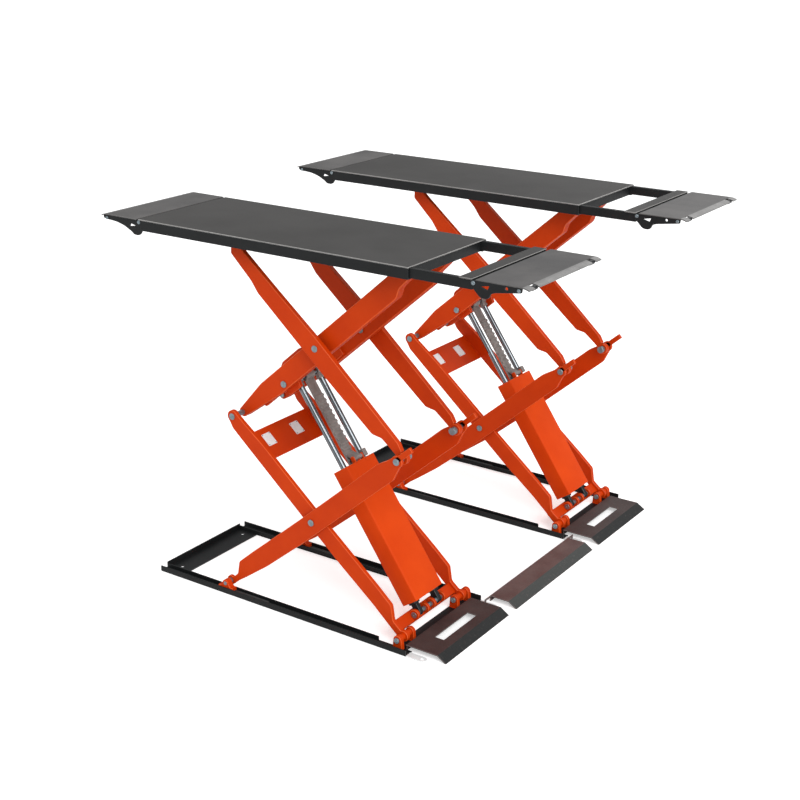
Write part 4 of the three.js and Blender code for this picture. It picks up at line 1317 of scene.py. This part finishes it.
@dataclass
class SlideArms(SubAssembly):
    """The lower arms whose feet slide, their pins and their shoes."""

    bar: Bar = Bar(
        (
            (0, -24), (40, -24), (112, -33), (260, -47), (519, -55), (1231, -57), (1275, -38),
            (1305, -26),
        ),
        (
            (0, 6), (63, 6), (117, 50), (238, 50), (459, 45), (616, 43), (955, 42), (1201, 42),
            (1270, 28), (1305, 26),
        ),
        ((0, 0, 24), (BASE_LENGTH, 0, 28)),
        SLIDE_LAYER,
        1.8,
    )
    nub: Edge = ((1300, -8), (1408, -8), (1408, 18), (1300, 18))
    nub_easing: tuple[float, ...] = (1, 5, 5, 1)
    shoe: Bar = Bar(
        ((-45, -43.7), (45, -43.7)),
        ((-45, -17.7), (-30, -17.7), (-18, 0), (18, 0), (30, -17.7), (45, -17.7)),
        ((0, 0, 18),),
        Layer(286.0, 318.0),
        easing=3.0,
    )
    strip: Layer = Layer(290.0, 314.0)
    strip_reach: Pair = (43.0, 255.0)
    strip_faces: Pair = (-43.7, -33.7)
    pin_head: float = 6.0
    centre_tip: float = 231.4
    centre_radii: Pair = (10.0, 16.0)
    collar: float = 15.0
    knuckle_tip: float = 176.5
    knuckle_radii: tuple[float, ...] = (18.0, 10.0, 13.0, 10.0, 16.0)
    foot_tip: float = 320.0
    foot_radii: tuple[float, ...] = (10.0, 14.0, 10.0)

    def build(self) -> None:
        """Makes both arms, both shoes and the right knuckle pins."""
        for side in Side:
            self.build_arm(side)
            self.build_shoe(side)

    def build_arm(self, side: Side) -> None:
        """Makes one side's arm, with a nub past its knuckle, and the arm's two upper pins.

        Args:
            side: the side of the unit.
        """
        outline = rounded(self.nub, self.nub_easing)
        nub = plate([outline], *SLIDE_LAYER.on(side), self.bar.chamfer)
        node = f"{side.word}_slide_arm"
        self.put(node, joined([self.bar.on(side), nub]), SLIDE, ORANGE_COAT, "slide_arms", node)
        outer, seat = SLIDE_LAYER.outer, SLIDE_LAYER.seat()
        pin = capped((self.centre_tip, outer, outer + self.pin_head), self.centre_radii, side)
        collar = capped((BASE_LAYER.seat()[1], SLIDE_LAYER.inner), (self.collar,), side)
        centre = joined([pin, collar]).at(LOWER_HALF)
        self.put(f"{side.word}_lower_centre_pin", centre, SLIDE, PIN_COAT, "slide_arms")
        places = (self.knuckle_tip, *TOP_LAYER.seat(), *seat, seat[1] + self.pin_head)
        knuckle = capped(places, self.knuckle_radii, side)
        node = f"{side.word}_right_knuckle_pin"
        self.put(node, knuckle, TOP, PIN_COAT, "slide_arms", node)

    def build_shoe(self, side: Side) -> None:
        """Makes one side's sliding block, its slide strip and its pin.

        Args:
            side: the side of the unit.
        """
        node = f"{side.word}_foot_shoe"
        self.put(node, self.shoe.on(side), FOOT, ORANGE_COAT, "foot_shoes", node)
        strip = slab(self.strip_reach, self.strip.on(side), self.strip_faces, corner=2.0)
        self.put(f"{side.word}_slide_strip", strip, FOOT, NYLON_COAT, "foot_shoes")
        places = (
            SLIDE_LAYER.inner, SLIDE_LAYER.seat()[1], self.shoe.layer.inner, self.foot_tip,
        )
        pin = capped(places, self.foot_radii, side)
        self.put(f"{side.word}_foot_pin", pin, FOOT, PIN_COAT, "foot_shoes")


@dataclass
class LiftArms(SubAssembly):
    """The hollow upper arms that the cylinders push, with their bracket and pins."""

    bar: Bar = Bar(
        (
            (0, -24), (150, -38), (260, -50), (1125, -50), (1165, -25), (1235, -20),
            (1268, -10),
        ),
        ((0, 24), (131, 42), (190, 50), (1225, 50), (1268, 38)),
        ((0, 0, 24), (TOP_LENGTH, TOP_PIN_RISE, 26)),
        LIFT_LAYER,
        3.5,
        22.0,
    )
    bracket: Edge = (
        (100, -42), (262, -42), (271, -70), (281, -75), (353, -75), (363, -42), (479, -38),
        (479, 60), (471, 71), (338, 71), (319, 60), (304, 44), (100, 30),
    )
    bracket_easing: tuple[float, ...] = (4, 6, 6, 6, 6, 6, 8, 8, 8, 10, 10, 10, 4)
    tie_reach: Pair = (110.0, 180.0)
    tie_half: Pair = (126.0, 20.0)
    centre_tip: float = 116.3
    centre_radii: tuple[float, ...] = (14.0, 10.0, 14.0, 10.0, 16.0)
    knuckle_tips: Pair = (116.0, 258.6)
    knuckle_radii: tuple[float, ...] = (14.0, 10.0, 13.0, 10.0, 16.0)
    stub_head: float = 6.0
    stub_radii: Pair = (10.0, 16.0)

    def build(self) -> None:
        """Makes the weldment, its pins and the left knuckle pins."""
        outline = rounded(self.bracket, self.bracket_easing)
        brackets = [plate([outline], *BRACKET_LAYER.on(side), chamfer=1.8) for side in Side]
        across, up = ((-half, half) for half in self.tie_half)
        tie = slab(self.tie_reach, across, up, corner=6.0, chamfer=1.5)
        arms = joined([*(self.bar.on(side) for side in Side), *brackets, tie])
        self.put("lift_arms", arms, LIFT, ORANGE_COAT, "lift_arms", "lift_arms")
        for side in Side:
            self.put(
                f"{side.word}_lift_arm_pins", self.arm_pins(side), LIFT, PIN_COAT, "lift_arms"
            )
            first, last = self.knuckle_tips
            places = (first, *LIFT_LAYER.seat(), *BASE_LAYER.seat(), last)
            knuckle = capped(places, self.knuckle_radii, side)
            node = f"{side.word}_left_knuckle_pin"
            self.put(node, knuckle, LIFT, PIN_COAT, "lift_arms", node)

    def arm_pins(self, side: Side) -> Shell:
        """One side's centre pin, and the stub that holds the rods' head axle.

        Args:
            side: the side of the unit.

        Returns:
            Both pins, joined.
        """
        inner, outer = LIFT_LAYER.inner, LIFT_LAYER.outer
        places = (self.centre_tip, inner, outer, *TOP_LAYER.seat(), BASE_LAYER.seat()[0])
        centre = capped(places, self.centre_radii, side)
        stub_places = (BRACKET_LAYER.inner, outer, outer + self.stub_head)
        stub = capped(stub_places, self.stub_radii, side)
        along, up = ROD_HEAD_EYE
        return joined([centre.at(UPPER_HALF), stub.at(along, 0, up)])


@dataclass
class TopArms(SubAssembly):
    """The upper arms whose tops slide under the deck, with their axle and shoes."""

    bar: Bar = Bar(
        (
            (25, -16), (49, -16), (131, -20), (175, -48), (500, -56), (1011, -57), (1075, -42),
            (1235, -34), (1250, -11), (1268, 0),
        ),
        (
            (25, 20), (60, 34), (300, 38), (670, 42), (935, 33), (1058, 30), (1177, 28),
            (1253, 30), (1268, 5),
        ),
        ((0, 0, 28), (TOP_LENGTH, TOP_PIN_RISE, 25)),
        TOP_LAYER,
    )
    shoe: Bar = Bar(
        ((-30, 20), (-20, 0), (20, 0), (30, 20)),
        ((-30, 41.7), (30, 41.7)),
        ((0, 0, 20),),
        Layer(177.0, 201.0),
        1.2,
        3.0,
    )
    axle_head: float = 2.4
    axle_radii: Pair = (11.0, 15.0)

    def build(self) -> None:
        """Makes both arms, the axle and the sliding pads."""
        arms = joined([self.bar.on(side) for side in Side])
        self.put("top_arms", arms, TOP, ORANGE_COAT, "top_arms", "top_arms")
        axle = headed(TOP_LAYER.outer, self.axle_head, self.axle_radii)
        self.put("top_axle", axle.at(TOP_LENGTH, 0, TOP_PIN_RISE), TOP, PIN_COAT, "top_arms")
        for side in Side:
            node = f"{side.word}_top_shoe"
            self.put(node, self.shoe.on(side), TOP_SHOE, NYLON_COAT, "top_shoes", node)


@dataclass
class CylinderPack(SubAssembly):
    """The twin cylinders in their orange cover, the rods, the locking rack and its pawl."""

    offset: float = 78.0
    barrel: float = 27.6
    barrel_reach: Pair = (44.0, 728.0)
    foot_eye: float = 17.0
    foot_eye_low: Edge = ((0, -16.7), (66, -16.7))
    foot_eye_high: Edge = ((0, 16.7), (66, 16.7))
    foot_eye_half: float = 12.0
    foot_pin: tuple[float, float, Pair] = (120.3, 3.5, (12.0, 15.0))
    rod: float = 15.0
    rod_start: float = 500.0
    rod_end: float = 8.0  # from the rod's tip to its head axle
    axle: float = 16.0
    rod_eye: Pair = (17.0, 24.0)  # half its width, and its radius
    cover_half: Pair = (110.0, 47.5)
    cover_wall: float = 4.0
    cover_corners: Pair = (9.0, 6.0)  # outside and inside
    cover_reach: Pair = (55.0, 755.0)
    ear: Edge = ((735, 25.5), (785, 25.5), (785, 47.5), (735, 47.5))
    ear_easing: tuple[float, ...] = (2, 10, 8, 2)
    ear_layer: Layer = Layer(30.0, 36.0)
    gland: Edge = (
        (726.0, 15.4), (726.0, 25.5), (727.5, 27.0), (732.0, 27.0), (733.0, 25.2),
        (736.0, 25.2), (737.0, 27.0), (740.0, 27.0), (742.0, 25.0), (742.0, 20.0),
        (746.0, 18.5), (746.0, 15.4),
    )
    locknut: Edge = (
        (-42.0, 15.2), (-42.0, 19.5), (-40.5, 21.0), (-29.5, 21.0), (-28.0, 19.5),
        (-20.0, 19.0), (-20.0, 15.2),
    )
    rack_start: float = 600.0
    rack_end: float = 12.5  # from the rack's bar to the head axle
    rack_faces: Pair = (-6.0, 4.0)
    rack_bare: float = 60.0  # the bar's last stretch has no teeth
    rack_half: float = 30.0
    rack_eye: Edge = (
        (-30.0, 16.3), (-30.0, 23.5), (-28.5, 25.0), (28.5, 25.0), (30.0, 23.5), (30.0, 16.3),
    )
    tooth_pitch: float = 28.0
    tooth_depth: float = 6.0
    tooth_flank: float = 1.5
    pawl_pivot: Pair = (772.0, 36.0)
    pawl_tube: tuple[float, float, float] = (-35.7, 68.0, 7.0)  # its ends and radius
    hub: float = 11.0
    nose: Edge = ((761, 36), (783, 36), (804, 10.6), (792, 10.6))
    nose_easing: tuple[float, ...] = (2, 6, 2, 2)
    nose_half: float = 29.7
    pawl_arm: tuple[Pair, Pair, Pair] = ((760.0, 797.0), (42.0, 68.0), (24.0, 50.0))

    def build(self) -> None:
        """Makes the cover, barrels, glands, rods, rack and pawl."""
        for name, shell, coat, body, node in (
            ("cylinder_cover", self.cover(), COVER_COAT, "cylinders", "cylinder_cover"),
            ("cylinder_barrels", self.barrels(), BARREL_COAT, "cylinders", "cylinder_barrels"),
            ("cylinder_foot_pin", headed(*self.foot_pin), PIN_COAT, "cylinders", ""),
            ("cylinder_glands", self.glands(), PIN_COAT, "cylinders", ""),
            ("piston_rods", self.rods(), CHROME_COAT, "rods", "piston_rods"),
            ("rod_eyes", self.rod_eyes(), RACK_COAT, "rods", ""),
            ("lock_rack", self.rack(), RACK_COAT, "rods", "lock_rack"),
            ("lock_pawl", self.pawl(), PAWL_COAT, "pawl", "lock_pawl"),
        ):
            self.put(name, shell, PACK, coat, body, node)

    def twice(self, *parts: Shell) -> Shell:
        """The parts of one cylinder, on both cylinders' lines."""
        return joined([p.at(0, s.value * self.offset) for s in Side for p in parts])

    def cover(self) -> Shell:
        """The folded cover: a round-cornered tube with the pawl's two ears.

        Returns:
            The tube and the ears, joined.
        """
        (y, z), wall, corners = self.cover_half, self.cover_wall, self.cover_corners
        outer = rectangle((-y, -z), (y, z), corners[0])
        inner = rectangle((wall - y, wall - z), (y - wall, z - wall), corners[1])
        tube = plate([outer, inner], *self.cover_reach, chamfer=1.2, plane=Plane.CROSS)
        ear = rounded(self.ear, self.ear_easing)
        ears = [plate([ear], *self.ear_layer.on(side), SHEET_RIM) for side in Side]
        return joined([tube, *ears])

    def barrels(self) -> Shell:
        """The two barrels with their foot eyes.

        Returns:
            Both, joined.
        """
        eyes, half = ((0, 0, self.foot_eye),), self.foot_eye_half
        outline = bar_outline(self.foot_eye_low, self.foot_eye_high, eyes, easing=1.0)
        barrel = stepped(
            self.barrel_reach, [self.barrel], Axis.LENGTHWISE, chamfer=2.5, dimple=2.0
        )
        return self.twice(barrel, plate([outline], -half, half))

    def glands(self) -> Shell:
        """The gland nuts at the barrels' mouths, each with a groove and a wiper lip."""
        return self.twice(turned(self.gland, Axis.LENGTHWISE, hollow=True))

    def rods(self) -> Shell:
        """The two polished rods and the axle at their heads.

        Returns:
            All three, joined.
        """
        reach = (self.rod_start, PACK_LENGTH - self.rod_end)
        rod = stepped(reach, [self.rod], Axis.LENGTHWISE, chamfer=1.5, dimple=2.0)
        half = BRACKET_LAYER.seat()[0]
        return joined([self.twice(rod), stepped([-half, half], [self.axle]).at(PACK_LENGTH)])

    def rod_eyes(self) -> Shell:
        """The round eyes that tie the rods to their axle, each with a locknut below.

        Returns:
            Eyes and nuts, joined.
        """
        half, radius = self.rod_eye
        eye = stepped([-half, half], [radius], chamfer=2.0, dimple=2.0)
        nut = turned(self.locknut, Axis.LENGTHWISE, sides=12, hollow=True)
        return self.twice(eye, nut).at(PACK_LENGTH)

    def rack(self) -> Shell:
        """The rack: a flat bar whose front is stepped into square teeth, and its head eye.

        The front edge is a square wave: raised for half of each pitch.

        Returns:
            Bar and eye, joined.
        """
        end = PACK_LENGTH - self.rack_end
        back, face = self.rack_faces
        first, flank, half = self.rack_start, self.tooth_flank, self.tooth_pitch / 2
        teeth = int((end - self.rack_bare - first) // self.tooth_pitch)
        starts = first + self.tooth_pitch * np.arange(teeth)
        low, high = np.full(teeth, face), np.full(teeth, face + self.tooth_depth)
        corners = ((0.0, low), (flank, high), (half - flank, high), (half, low))
        steps = np.stack([np.c_[starts + s, h] for s, h in corners], 1).reshape(-1, 2)
        outline = np.vstack([[(first, back)], steps, [(end, face), (end, back)]])[::-1]
        bar = plate([without_repeats(outline)], -self.rack_half, self.rack_half, SHEET_RIM)
        return joined([bar, turned(self.rack_eye, hollow=True).at(PACK_LENGTH)])

    def pawl(self) -> Shell:
        """The pawl: a tube on the cover's ears, its nose over the teeth and its arm.

        Returns:
            Nose, hub, tube and arm, joined.
        """
        half, (along, up) = self.nose_half, self.pawl_pivot
        nose = plate([rounded(self.nose, self.nose_easing)], -half, half, chamfer=1.0)
        hub = stepped([-half, half], [self.hub]).at(along, 0, up)
        *ends, radius = self.pawl_tube
        tube = stepped(ends, [radius]).at(along, 0, up)
        arm = slab(*self.pawl_arm, corner=6.0, chamfer=2.0)
        return joined([nose, hub, tube, arm])


@dataclass(frozen=True)
class Flap:
    """A hinged ramp: a sheet between two cheeks. Places run from its hinge line to its tip."""

    name: str
    hinge: Place
    length: float
    cheek_layer: Layer
    cheek: Edge
    easing: tuple[float, ...]
    opening: Edge
    rib_end: float
    tip_pin: Pair
    notch: float = 0.0  # depth of the two notches for the rollers
    bore: tuple[tuple[float, float, float], ...] = ()
    ears: tuple[Layer, ...] = ()


EXIT_FLAP = Flap(
    "exit_flap",
    EXIT_HINGE,
    256.0,
    Layer(303.5, 310.0),
    (
        (-14.1, -1.6), (0, 8), (5.1, 12.8), (225.3, 12.8), (222.7, -8), (102.4, -25.6),
        (81.9, -33.6), (76.8, -49.6), (64, -57.6), (41, -57.6), (28.2, -52), (-7.7, -16),
    ),
    (5, 2, 1, 3, 6, 10, 8, 8, 8, 8, 8, 8),
    ((33.3, -9.6), (74.2, -1.6), (66.6, -19.2)),
    215.0,
    (209.9, 0.0),
    notch=34.0,
    bore=((153.6, 0.0, 6.3),),
    ears=(Layer(224.0, 228.0), Layer(262.0, 266.0)),
)
ENTRY_FLAP = Flap(
    "entry_flap",
    ENTRY_HINGE,
    237.3,
    Layer(297.2, 303.7),
    (
        (-19, -1.6), (0, 8), (4.7, 12.8), (213.6, 12.8), (230.2, 6.4), (227.8, -6.4),
        (213.6, -11.2), (180.3, -12.8), (142.4, -16), (94.9, -28), (47.5, -51.2),
        (35.6, -62.4), (7.1, -64), (-9.5, -56), (-19, -40),
    ),
    (5, 2, 1, 4, 6, 6, 6, 10, 12, 12, 8, 8, 8, 8, 8),
    ((21.4, -19.2), (52.2, -11.2), (59.3, -25.6)),
    200.0,
    (206.5, -4.8),
)


@dataclass
class Platform(SubAssembly):
    """The deck, its frame, the sliding extension and the two flaps."""

    half: float = 310.0
    axle: tuple[float, float, Pair] = (187.3, 5.0, (10.0, 14.0))
    cross_plate: Pair = (330.7, 393.0)
    cross_plate_faces: Pair = (42.0, 47.0)
    cross_web: Pair = (388.0, 392.5)
    web_overlap: float = 2.0  # how far the web goes into the cross plate
    tube_half: float = 303.2
    tube: Edge = ((303.2, 6.3), (303.2, 9.0), (302.2, 10.0))
    box: Layer = Layer(276.0, 302.0)
    box_reach: Pair = (-310.0, 390.7)
    box_faces: Pair = (-0.7, 41.7)
    box_wall: float = 3.0
    seat_reach: Pair = (331.0, 390.0)
    seat_faces: Pair = (38.0, 43.0)
    seat_inset: float = 0.5
    sheet_start: float = 11.0
    sheet_faces: Pair = (11.0, 16.0)
    tip_bend: float = 32.0
    tip_drop: float = 8.0
    notch_layer: Layer = Layer(228.0, 262.0)
    rib_start: float = 40.0
    rib_layer: Layer = Layer(107.5, 112.5)
    rib_faces: Pair = (-6.0, 11.4)
    ear_reach: Pair = (228.0, 248.0)
    ear_faces: Pair = (-4.0, 11.6)
    hinge_pin: Pair = (44.0, 9.5)  # reach in and out from the cheek's inner face
    hinge_radii: Pair = (6.0, 9.0)
    tip_pin: Pair = (9.0, 8.0)  # reach out from there, and radius
    roller_places: tuple[float, ...] = (-266.0, -259.0, -231.0, 231.0, 259.0, 266.0)
    roller_radii: tuple[float, ...] = (4.0, 11.0, 4.0, 11.0, 4.0)
    roller_axle: Pair = (238.0, 4.0)

    def build(self) -> None:
        """Dresses the deck and makes its axle, the extension and the flaps."""
        self.bench.dress(self.unit.named("deck_top"), DECK_COAT, COVER_BEND, clamp=False)
        self.bench.dress(self.unit.named("deck_frame"), BLACK_COAT, FRAME_BEND)
        self.put("deck_axle", headed(*self.axle), DECK, PIN_COAT, "platform", "deck_axle")
        self.build_extension()
        self.build_flap(EXIT_FLAP)
        along, up = self.roller_axle
        self.put(
            "exit_flap_rollers",
            stepped(self.roller_places, self.roller_radii).at(along, 0, up),
            EXIT_HINGE,
            ROLLER_COAT,
            "exit_rollers",
            "exit_flap_rollers",
        )
        self.build_flap(ENTRY_FLAP)

    def build_extension(self) -> None:
        """Makes the box rails, the cross plate and its hinge tube."""
        across, faces = (-self.half, self.half), self.cross_plate_faces
        top = slab(self.cross_plate, across, faces, chamfer=1.2, plane=Plane.FLAT)
        half, up = self.tube_half, (HINGE_RISE, faces[0] + self.web_overlap)
        web = slab(self.cross_web, (-half, half), up, corner=1.0, chamfer=SHEET_RIM)
        mirrored = [(-place, radius) for place, radius in reversed(self.tube)]
        tube = turned([*self.tube, *mirrored], hollow=True)
        self.put("extension_plate", top, DECK, DECK_COAT, "extension", "extension_frame")
        rails = [self.extension_rail(side) for side in Side]
        under = joined([*rails, web, tube.at(EXIT_HINGE_REACH, 0, HINGE_RISE)])
        self.put("extension_rails", under, DECK, BLACK_COAT, "extension")

    def extension_rail(self, side: Side) -> Shell:
        """One open-ended box rail with a seat under the cross plate.

        Args:
            side: the side of the unit.

        Returns:
            Rail and seat, joined.
        """
        (a, b), (low, high) = self.box.on(side), self.box_faces
        wall = self.box_wall
        inset, seat_inset = side.value * wall, side.value * self.seat_inset
        outer = rectangle((a, low), (b, high), 3.0)
        inner = rectangle((a + inset, low + wall), (b - inset, high - wall), 2.0)
        tube = plate([outer, inner], *self.box_reach, SHEET_RIM, Plane.CROSS)
        across = (a + seat_inset, b - seat_inset)
        seat = slab(self.seat_reach, across, self.seat_faces, corner=1.0, chamfer=0.6)
        return joined([tube, seat])

    def flap_sheet(self, length: float, notch: float) -> Shell:
        """The flap's sheet: flat, with a tip that dips and is painted pale as a painted
        highlight.

        The section through the sheet is carried across the unit in bands that meet, those
        over the notches being shorter.

        Args:
            length: from the hinge line to the tip.
            notch: depth of the two notches in the tip, or 0 for a plain tip.

        Returns:
            Closed Shells, joined.
        """
        full, short = self.flap_section(length, length), self.flap_section(length, length - notch)
        low, edge = self.notch_layer.inner, Layer(self.notch_layer.outer, self.half)
        bands = [plate([full], -self.half, self.half, chamfer=0.6)]
        if notch:
            seam = 0.05  # rims so narrow that the bands' faces meet
            bands = [plate([full], -low, low, seam)]
            for side in Side:
                bands.append(plate([short], *self.notch_layer.on(side), seam))
                bands.append(plate([full], *edge.on(side), seam))
        sheet = joined(bands)
        # Painted highlight: the bent tip's faces take the pale rim finish.
        painted_tip_highlight = sheet.points[sheet.quads].mean(axis=1)[:, 0] > length - self.tip_bend
        return Shell(sheet.points, sheet.quads, sheet.rims | painted_tip_highlight, sheet.tris)

    def flap_section(self, length: float, end: float) -> np.ndarray:
        """The section through a flap's sheet: its height falls by the square of the share of
        the bend before the full length.

        Args:
            length: the flap's full length.
            end: where this band of it ends.

        Returns:
            Points (along, up) of the closed section.
        """
        bend = np.linspace(length - self.tip_bend, length, 9)
        places = np.concatenate([[self.sheet_start, self.sheet_start + 1.0], bend[bend < end]])
        places = np.append(places[places < end - 1.5], [end - 1.0, end])
        drop = self.tip_drop * np.clip(1 + (places - length) / self.tip_bend, 0, 1) ** 2
        ease = np.zeros(len(places))
        ease[[0, -1]] = 0.8
        low, high = self.sheet_faces
        under = np.c_[places, low - drop + ease]
        top = np.c_[places, high - drop - ease][::-1]
        return np.vstack([under, top])

    def build_flap(self, flap: Flap) -> None:
        """Makes a flap's sheet, its pierced cheeks with ears and ribs, and its pins.

        Args:
            flap: the flap's own sizes.
        """
        name, hinge = flap.name, flap.hinge
        sheet = self.flap_sheet(flap.length, flap.notch)
        self.put(name, sheet, hinge, FLAP_COAT, name, name)
        outline, opening = rounded(flap.cheek, flap.easing), rounded(flap.opening, 3.0)
        loops = [outline, opening, *(ring(*bore) for bore in flap.bore)]
        parts = [plate(loops, *flap.cheek_layer.on(side), chamfer=0.9) for side in Side]
        parts += [
            slab(self.ear_reach, ear.on(side), self.ear_faces, corner=5.0, chamfer=0.6)
            for side in Side
            for ear in flap.ears
        ]
        rib = (self.rib_start, flap.rib_end)
        parts += [
            slab(rib, self.rib_layer.on(side), self.rib_faces, corner=6.0, chamfer=0.6)
            for side in Side
        ]
        self.put(f"{name}_cheeks", joined(parts), hinge, BLACK_COAT, name)
        face, (back, out) = flap.cheek_layer.inner, self.hinge_pin
        hinge_places = (face - back, face, face + out)
        pins = [capped(hinge_places, self.hinge_radii, side) for side in Side]
        (tip_out, radius), (along, up) = self.tip_pin, flap.tip_pin
        tip_places = (face, face + tip_out)
        pins += [capped(tip_places, (radius,), side).at(along, 0, up) for side in Side]
        self.put(f"{name}_pins", joined(pins), hinge, PIN_COAT, name)


# Matt white paper under the lift, a little brighter to the eye than the light makes it.
PAPER = Finish(
    "seamless_paper", "#fafafa", "#f8f8f8", (0.85, 0.95), patch_mm=2600.0, grain_mm=12.0,
    specular=0.0, glow=0.45,
)


@dataclass
class Studio:
    """Pale floor, soft lights and the camera at the photograph's angle: metres and degrees."""

    floor_half: float = 40.0
    floor_gap: float = 0.0005  # under the lift, so that no two faces lie in one plane
    camera_at: tuple[float, float, float] = (3.7795, -5.7965, 3.291)
    yaw: float = 34.21
    pitch: float = 19.90
    roll: float = 0.38
    focal: float = 64.44  # millimetres, as the sensor's width
    sensor: float = 36.0
    lit_middle: tuple[float, float, float] = (0.0, 0.0, 0.9)
    sun_from: tuple[float, float, float] = (5.4, -2.9, 5.6)
    sun_strength: float = 2.1
    sun_angle: float = 45.0  # how wide the sun is: wide for soft shadows
    sky_strength: float = 0.5
    fills: tuple[tuple[tuple[float, float, float], float, float], ...] = (
        ((-4.5, -3.5, 4.5), 3.5, 60.0),
        ((0.5, 5.0, 5.0), 4.0, 60.0),
    )  # where each fill hangs, its width, and its watts

    def build(self) -> None:
        """Makes the floor, the light and the camera."""
        self.make_floor()
        self.make_light()
        self.make_camera()

    def make_floor(self) -> None:
        """A wide pale sheet just under the lift, gently uneven in shade."""
        half, z = self.floor_half, -self.floor_gap
        corners = [(-half, -half, z), (half, -half, z), (half, half, z), (-half, half, z)]
        mesh = bpy.data.meshes.new("studio_floor")
        mesh.from_pydata(corners, [], [(0, 1, 2, 3)])
        mesh.materials.append(PAPER.material())
        floor = bpy.data.objects.new("studio_floor", mesh)
        bpy.context.scene.collection.objects.link(floor)

    def make_light(self) -> None:
        """An even sky that is white to the eye, a soft key light and two soft fills."""
        world = bpy.data.worlds.new("studio")
        world.use_nodes = True
        tree = world.node_tree
        sky = tree.nodes["Background"]
        sky.inputs["Color"].default_value = linear("#ffffff")
        seen = add_node(tree, "ShaderNodeLightPath").outputs["Is Camera Ray"]
        strength = add_node(
            tree,
            "ShaderNodeMapRange",
            {"To Min": self.sky_strength, "To Max": 1.0},
            {"Value": seen},
        )
        tree.links.new(strength.outputs["Result"], sky.inputs["Strength"])
        bpy.context.scene.world = world
        key = bpy.data.lights.new("key", "SUN")
        key.energy = self.sun_strength
        key.angle = math.radians(self.sun_angle)
        self.hang(key, self.sun_from)
        for k, (spot, size, power) in enumerate(self.fills):
            lamp = bpy.data.lights.new(f"fill_{k}", "AREA")
            lamp.size = size
            lamp.energy = power
            self.hang(lamp, spot)

    def hang(self, lamp: bpy.types.Light, spot: tuple[float, float, float]) -> None:
        """Hangs a lamp and turns it to the lift's middle.

        Args:
            lamp: the lamp's data.
            spot: where it hangs, in metres.
        """
        holder = bpy.data.objects.new(lamp.name, lamp)
        holder.location = spot
        holder.rotation_mode = "QUATERNION"
        aim = Vector(self.lit_middle) - Vector(spot)
        holder.rotation_quaternion = aim.to_track_quat("-Z", "Y")
        bpy.context.scene.collection.objects.link(holder)

    def make_camera(self) -> None:
        """The camera of the photograph: its place, turn, dip and slight roll."""
        yaw, pitch, roll = (math.radians(v) for v in (self.yaw, self.pitch, self.roll))
        forward = Vector(
            (-math.sin(yaw) * math.cos(pitch), math.cos(yaw) * math.cos(pitch), -math.sin(pitch))
        )
        right = Vector((math.cos(yaw), math.sin(yaw), 0.0))
        up = right.cross(forward)
        tilted_right = right * math.cos(roll) + up * math.sin(roll)
        tilted_up = up * math.cos(roll) - right * math.sin(roll)
        turn = Matrix((tilted_right, tilted_up, -forward)).transposed()
        lens = bpy.data.cameras.new("photo_camera")
        lens.lens = self.focal
        lens.sensor_width = self.sensor
        camera = bpy.data.objects.new("photo_camera", lens)
        camera.rotation_mode = "QUATERNION"
        camera.rotation_quaternion = turn.to_quaternion()
        camera.location = self.camera_at
        bpy.context.scene.collection.objects.link(camera)
        bpy.context.scene.camera = camera
        bpy.context.scene.view_settings.view_transform = "Standard"


def main() -> None:
    """Builds both units, the shared cover and the studio."""
    logging.basicConfig(level=logging.INFO, format="%(name)s %(message)s")
    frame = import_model()
    bench = Bench(frame)
    for unit in (Unit("lift_a", -UNIT_Y), Unit("lift_b", UNIT_Y)):
        for group in (FloorFrame, BaseArms, SlideArms, LiftArms, TopArms, CylinderPack, Platform):
            group(bench, unit).build()
    bench.dress("mid_cover", BROWN_COAT, COVER_BEND)
    Studio().build()
    log.info("%d pieces", bench.count)


if __name__ == "__main__":
    main()
